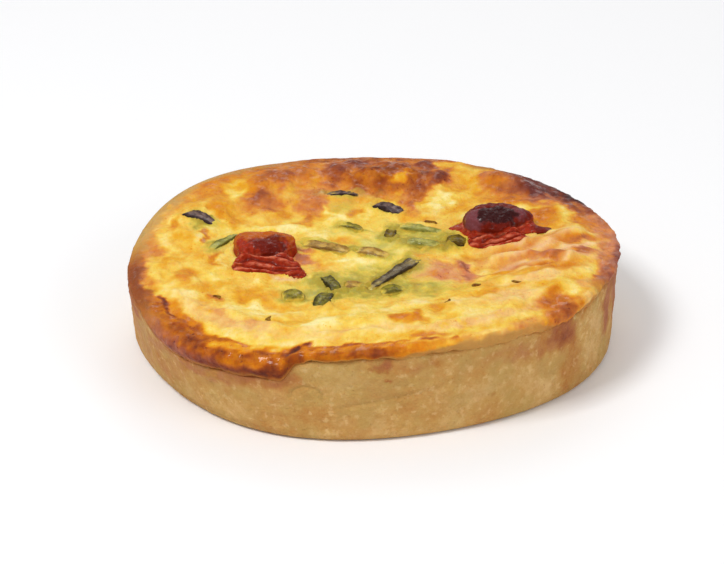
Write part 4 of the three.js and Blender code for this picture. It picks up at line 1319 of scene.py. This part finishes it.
class QUICHE_OT_tomatoes(bpy.types.Operator):
    """Builds the two roasted tomato halves with their slumped, charred skins"""

    bl_idname = "quiche.tomatoes"
    bl_label = "Tomatoes"

    around = 260
    hidden_rows = 3
    skirt_rows = 40
    dome_rows = 44

    # Patches on the skins: middle x and y from the dome's middle, half length, half width, heading.
    burnt_cap = (0.4, -2.4, 6.6, 5.0, 0)
    dark_tail = (13, -5.6, 6, 2.6, -22)
    # Where the purple sheen is painted on the right dome's sides.
    left_sheen = (-5.0, -2.4, 4.0, 4.6, 0)
    right_sheen = (5.6, -1.5, 2.8, 3.6, 0)
    dark_hollow = (1.6, -3.2, 6.2, 5.6, 0)

    def execute(self, context):
        form = Form(sizes())
        look = tomato_look(colours())
        for number, row in enumerate(TOMATOES):
            tomato = Tomato(row)
            rings, fields = self.skin(form, tomato, number)
            faces = ring_faces(len(rings), self.around)
            name = "roast_" + tomato.node
            make_piece(name, closed_rings(rings), faces, look, [tomato.node], "tomato", ring_masks(fields))
        return {"FINISHED"}

    def section(self, form, tomato, angle):
        """Radius and height of each ring from below the skirt to the dome's top, and the shoulder."""
        skirt, dome = tomato.skirt(angle), tomato.dome(angle)
        bottom = float(form.top_at(tomato.x, tomato.y)) - tomato.sunk
        lying = form.top_at(tomato.x + skirt * np.cos(angle), tomato.y + skirt * np.sin(angle))
        edge = lying + tomato.skirt_lift
        shoulder = between(edge, tomato.top, tomato.shoulder)
        rows = [
            (skirt * 0.55, bottom + 0 * angle),
            (skirt * 0.88, between(bottom, lying, 0.45)),
            (skirt * 0.985, lying - 0.1),
        ]
        for share in np.linspace(0, 1, self.skirt_rows, endpoint=False):
            wave = np.sin(tomato.folds * np.pi * (share + 0.1 * np.sin(3 * angle)))
            fold = tomato.fold_depth * tomato.slump(angle) * wave * min(1, share * 4)
            rows.append((between(skirt, dome, share), between(edge, shoulder, share) + fold))
        for turn in np.linspace(0, np.pi / 2, self.dome_rows, endpoint=False):
            radius = dome * math.cos(turn) ** tomato.roundness
            height = between(shoulder, tomato.top, math.sin(turn) ** tomato.roundness)
            rows.append((radius, height - tomato.dimple * (1 - smooth(radius / dome, 0, 0.55))))
        radius, height = zip(*rows)
        return np.array(radius), np.array(height), shoulder

    def skin(self, form, tomato, number):
        """Rings of the wrinkled skin, how amber, dark and charred it is, and its painted shade in the folds,
        highlights and sheen.
        """
        angle = full_turn(self.around)
        radius, height, shoulder = self.section(form, tomato, angle)
        step = np.arange(len(radius))[:, None] - self.hidden_rows
        seen = 1.0 * (step >= 0)
        on_dome = (step >= self.skirt_rows) + 0.0 * radius
        slumped = tomato.slump(angle) * (1 - on_dome)
        flat = round_points(radius, angle, height)
        x, y = flat[..., 0], flat[..., 1]
        spots = rough(flat, 3.0, 3, 30 + number)
        wrinkles = np.abs(rough(flat * [0.55, 1.3, 2.8], 2.6, 3, 10 + number)) - 0.3
        crumple = rough(flat * [1, 1, 1.6], 3.6, 3, 20 + number)
        warp = 2.8 * lumps(flat, 5, 60 + number) + 1.3 * lumps(flat, 2.2, 66 + number)
        creases = np.sin(2.7 * y + 0.5 * x * (-1) ** number + warp)
        ribs = np.sin(13 * angle + 4 * lumps(flat, 3, 64 + number))
        ribs = ribs * smooth(radius / tomato.dome(angle), 0.5, 0.95)
        burnt = number * on_dome * hump(self.burnt_cap, x + 1.2 * spots, y + 0.8 * spots, 0.3, 1.15)
        shrunk = np.abs(rough(flat, 1.5, 2, 75)) - 0.25
        rise = 0.22 * crumple + (0.42 * creases - 0.3 * wrinkles) * slumped - 0.24 * wrinkles * on_dome
        swell = (0.3 * crumple + 0.26 * creases) * slumped + (0.3 * crumple + 0.06 * ribs) * on_dome
        radius = radius + seen * swell * smooth(radius, 0, 2)
        rings = round_points(radius, angle, height + seen * rise - 0.55 * burnt * shrunk)
        rings = rings + np.array([tomato.x, tomato.y, 0])
        # Painted highlight along the seam between skirt and dome and on the crests of the skirt's folds.
        seam = np.exp(-(((step - self.skirt_rows) / 2.2) ** 2))
        # Painted shade in the valleys of the skirt's folds and in the hollows between the dome's ribs.
        valleys = smooth(-creases, 0.35, 1.0) * slumped
        fields = {
            "fold": np.maximum(valleys, 0.25 * smooth(-ribs, 0.3, 1.0) * on_dome),
            "bright": np.maximum(smooth(creases, 0.3, 0.9) * slumped, 0.8 * seam),
            "amber": 0.2 + 0.15 * spots,
            "bloom": 0 * on_dome,
            "char": burnt,
        }
        if number:
            high = on_dome * smooth(height + 0.3 * spots, shoulder + 0.2, shoulder + 0.9)
            tail = hump(self.dark_tail, x, y, 0.3, 1.2) * (1 - on_dome)
            left = hump(self.left_sheen, x, y, 0.3, 1.1)
            right = hump(self.right_sheen, x, y, 0.3, 1.1)
            fields["dark"] = np.maximum(0.8 * high, tail)
            # A purple sheen painted on the dome's left side, fainter on its right.
            fields["bloom"] = high * np.maximum(left, 0.7 * right)
        else:
            browned = smooth(y + 1.2 * spots, -2.4, 1.4)
            fields["dark"] = on_dome * hump(self.dark_hollow, x + 1.4 * spots + 0.8 * ribs, y, 0.2, 1.2)
            fields["amber"] = between(fields["amber"], 1.0, on_dome * browned)
        return rings, fields


class QUICHE_OT_vegetables(bpy.types.Operator):
    """Builds the cut vegetables that lie half sunk in the filling"""

    bl_idname = "quiche.vegetables"
    bl_label = "Vegetables"

    around = 72
    rings = 40
    squareness = 5
    arch_share = 0.18
    lump_height = 0.22
    hollow_depth = 0.3
    shrivelled = "courgette_long"

    def execute(self, context):
        form = Form(sizes())
        looks = {kind: vegetable_look(kind, colours()) for kind in VEGETABLE_LOOKS}
        faces = ring_faces(self.rings, self.around)
        for number, row in enumerate(VEGETABLES):
            node = row[0]
            kind = node.split("_")[0]
            look = looks["strip" if node == self.shrivelled else kind]
            rings, fields = self.chunk(form, row, number)
            make_piece("cut_" + node, closed_rings(rings), faces, look, [node], kind, ring_masks(fields))
        return {"FINISHED"}

    def chunk(self, form, row, number):
        """A rounded block, narrowed to one end and arched along its length, with shrunken edges."""
        node, x, y, long, wide, thick, turn, tip, proud, taper = row
        round_form = ball(self.rings, self.around)
        reach = np.sum(np.abs(round_form) ** self.squareness, axis=-1, keepdims=True)
        squared = round_form / reach ** (1 / self.squareness)
        u, v, w = (squared[..., k] for k in range(3))
        narrowing = 1 - taper * 0.5 * (1 + u)
        arch = thick * self.arch_share * (1 - u * u)
        local = flat_points(u * long / 2, v * wide / 2 * narrowing, w * thick / 2 + arch)
        local = local * (1 + 0.05 * rough(local, 3.0, 2, number * 13))[..., None]
        hollow = smooth(w, 0.6, 1.0) * (1 - smooth(np.abs(v), 0.35, 0.85))
        local[..., 2] += self.lump_height * rough(local, 1.7, 3, number) - self.hollow_depth * hollow
        spin = Matrix.Rotation(math.radians(turn), 3, "Z") @ Matrix.Rotation(math.radians(-tip), 3, "Y")
        height = float(form.top_at(x, y)) + proud - thick / 2
        rings = local @ np.array(spin).T + np.array([x, y, height])
        speckle = rough(local, 1.8, 3, number + 50)
        above = rings[..., 2] - form.top_at(rings[..., 0], rings[..., 1])
        filmed = FILMED.get(node, 0.0)
        return rings, {
            "film": 1 - smooth(above, -0.1, 0.9) + 0.6 * filmed,
            "flesh": smooth(1 - np.abs(v) + 0.35 * speckle, 0.1, 0.8) + filmed,
            "rind": smooth(np.abs(v) + 0.25 * speckle, 0.62, 0.98) * (1 - 2 * filmed),
        }


class QUICHE_OT_herbs(bpy.types.Operator):
    """Lays small flecks of herb on the filling"""

    bl_idname = "quiche.herbs"
    bl_label = "Herb flecks"

    around = 20
    rings = 8
    half_thickness = 0.22
    slenderness = 4.5
    narrowing = 0.4
    bend_depth = 0.25

    def execute(self, context):
        form = Form(sizes())
        look = herb_look(colours())
        faces = ring_faces(self.rings, self.around)
        for number, (x, y, long, turn) in enumerate(HERBS):
            u, v, w = (ball(self.rings, self.around)[..., k] for k in range(3))
            share = math.hypot(x, y) / form.lip_radius(math.atan2(y, x))
            level = float(form.top_at(x, y) + form.fine(np.array(x), np.array(y), share))
            bend = self.bend_depth * np.sin(3 * u + number)
            across = v * long / self.slenderness * (1 - self.narrowing * u) + bend
            local = flat_points(u * long / 2, across, w * self.half_thickness)
            spin = np.array(Matrix.Rotation(math.radians(turn), 3, "Z"))
            points = closed_rings(local @ spin.T + np.array([x, y, level]))
            make_piece(f"herb_fleck_{number + 1}", points, faces, look, ["filling"], "courgette")
        return {"FINISHED"}


class QUICHE_OT_stage(bpy.types.Operator):
    """Sets out the pale floor, the soft lights and the camera"""

    bl_idname = "quiche.stage"
    bl_label = "Stage"

    # The view that was fitted to the outline: its aim and distance in metres, its elevation and roll in
    # degrees, and its focal length and the aim's offset in pixels of the picture.
    target = Vector((-0.8, -0.15, 12.0)) * MM
    distance = 600 * MM
    elevation = 25.0
    roll = 1.75
    focal_pixels = 2453.5
    picture_width = 724
    aim_right = 9.03
    aim_down = 2.13
    sensor_width = 36

    floor_half = 3.0
    floor_colour = (0.95, 0.95, 0.96, 1)
    sky_colour = (1, 1, 1, 1)
    sky_strength = 0.5

    # Lights: name, place in metres, size in metres, power in watts.
    lamps = [
        ("key_light", (-0.5, -0.35, 0.9), 0.35, 6.2),
        ("fill_light", (0.7, -0.7, 0.5), 0.6, 2.6),
        ("back_light", (0.1, 0.8, 0.7), 0.6, 1.6),
    ]

    def execute(self, context):
        self.floor(context)
        self.lights(context)
        self.camera(context)
        return {"FINISHED"}

    def floor(self, context):
        mesh = bpy.data.meshes.new("floor")
        half = self.floor_half
        corners = [(-half, -half, 0), (half, -half, 0), (half, half, 0), (-half, half, 0)]
        mesh.from_pydata(corners, [], [(0, 1, 2, 3)])
        look = Look("pale_floor", roughness=0.9, base_color=self.floor_colour)
        mesh.materials.append(look.material)
        piece = bpy.data.objects.new("floor", mesh)
        context.scene.collection.objects.link(piece)
        piece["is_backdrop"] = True

    def lights(self, context):
        world = bpy.data.worlds.new("studio")
        world.use_nodes = True
        background = world.node_tree.nodes["Background"]
        background.inputs["Color"].default_value = self.sky_colour
        background.inputs["Strength"].default_value = self.sky_strength
        context.scene.world = world
        for name, place, size, power in self.lamps:
            lamp = bpy.data.lights.new(name, "AREA")
            lamp.size = size
            lamp.energy = power
            light = bpy.data.objects.new(name, lamp)
            light.location = place
            light.rotation_euler = (Vector(place) - self.target).to_track_quat("Z", "Y").to_euler()
            context.scene.collection.objects.link(light)
        context.scene.view_settings.view_transform = "Standard"

    def camera(self, context):
        rise, roll = math.radians(self.elevation), math.radians(self.roll)
        back = Vector((0, -math.cos(rise), math.sin(rise)))
        level, upright = Vector((1, 0, 0)), Vector((0, math.sin(rise), math.cos(rise)))
        right = level * math.cos(roll) - upright * math.sin(roll)
        up = level * math.sin(roll) + upright * math.cos(roll)
        place = self.target + back * self.distance
        per_pixel = self.distance / self.focal_pixels
        aim = self.target - right * self.aim_right * per_pixel + up * self.aim_down * per_pixel
        back = (place - aim).normalized()
        right = (right - back * right.dot(back)).normalized()
        up = back.cross(right)
        lens = bpy.data.cameras.new("camera")
        lens.sensor_width = self.sensor_width
        lens.lens = self.sensor_width * self.focal_pixels / self.picture_width
        lens.clip_start = 0.01
        camera = bpy.data.objects.new("camera", lens)
        turn = Matrix((right, up, back)).transposed().to_4x4()
        camera.matrix_world = Matrix.Translation(place) @ turn
        context.scene.collection.objects.link(camera)
        context.scene.camera = camera


STEPS = [
    QUICHE_OT_pastry_case,
    QUICHE_OT_filling,
    QUICHE_OT_tomatoes,
    QUICHE_OT_vegetables,
    QUICHE_OT_herbs,
    QUICHE_OT_stage,
]


class QUICHE_PT_pieces(bpy.types.Panel):
    """Lists the sizes, the colours and the pieces to build"""

    bl_idname = "QUICHE_PT_pieces"
    bl_label = "Quiche"
    bl_space_type = "VIEW_3D"
    bl_region_type = "UI"
    bl_category = "Quiche"

    def draw(self, context):
        for group in (context.scene.quiche_sizes, context.scene.quiche_colours):
            box = self.layout.box()
            for key in group.__annotations__:
                box.prop(group, key)
        for step in STEPS:
            self.layout.operator(step.bl_idname)


CLASSES = [QuicheSizes, QuicheColours, *STEPS, QUICHE_PT_pieces]


def register():
    for made in CLASSES:
        bpy.utils.register_class(made)
    bpy.types.Scene.quiche_sizes = bpy.props.PointerProperty(type=QuicheSizes)
    bpy.types.Scene.quiche_colours = bpy.props.PointerProperty(type=QuicheColours)


def unregister():
    del bpy.types.Scene.quiche_colours
    del bpy.types.Scene.quiche_sizes
    for made in reversed(CLASSES):
        bpy.utils.unregister_class(made)


def main():
    register()
    for step in STEPS:
        getattr(bpy.ops.quiche, step.bl_idname.split(".")[1])()
    boxes = {"cad": SOLID_BOX, "visual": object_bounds()}
    {key: [list(map(float, corner)) for corner in box] for key, box in boxes.items()}


if __name__ == "__main__":
    main()
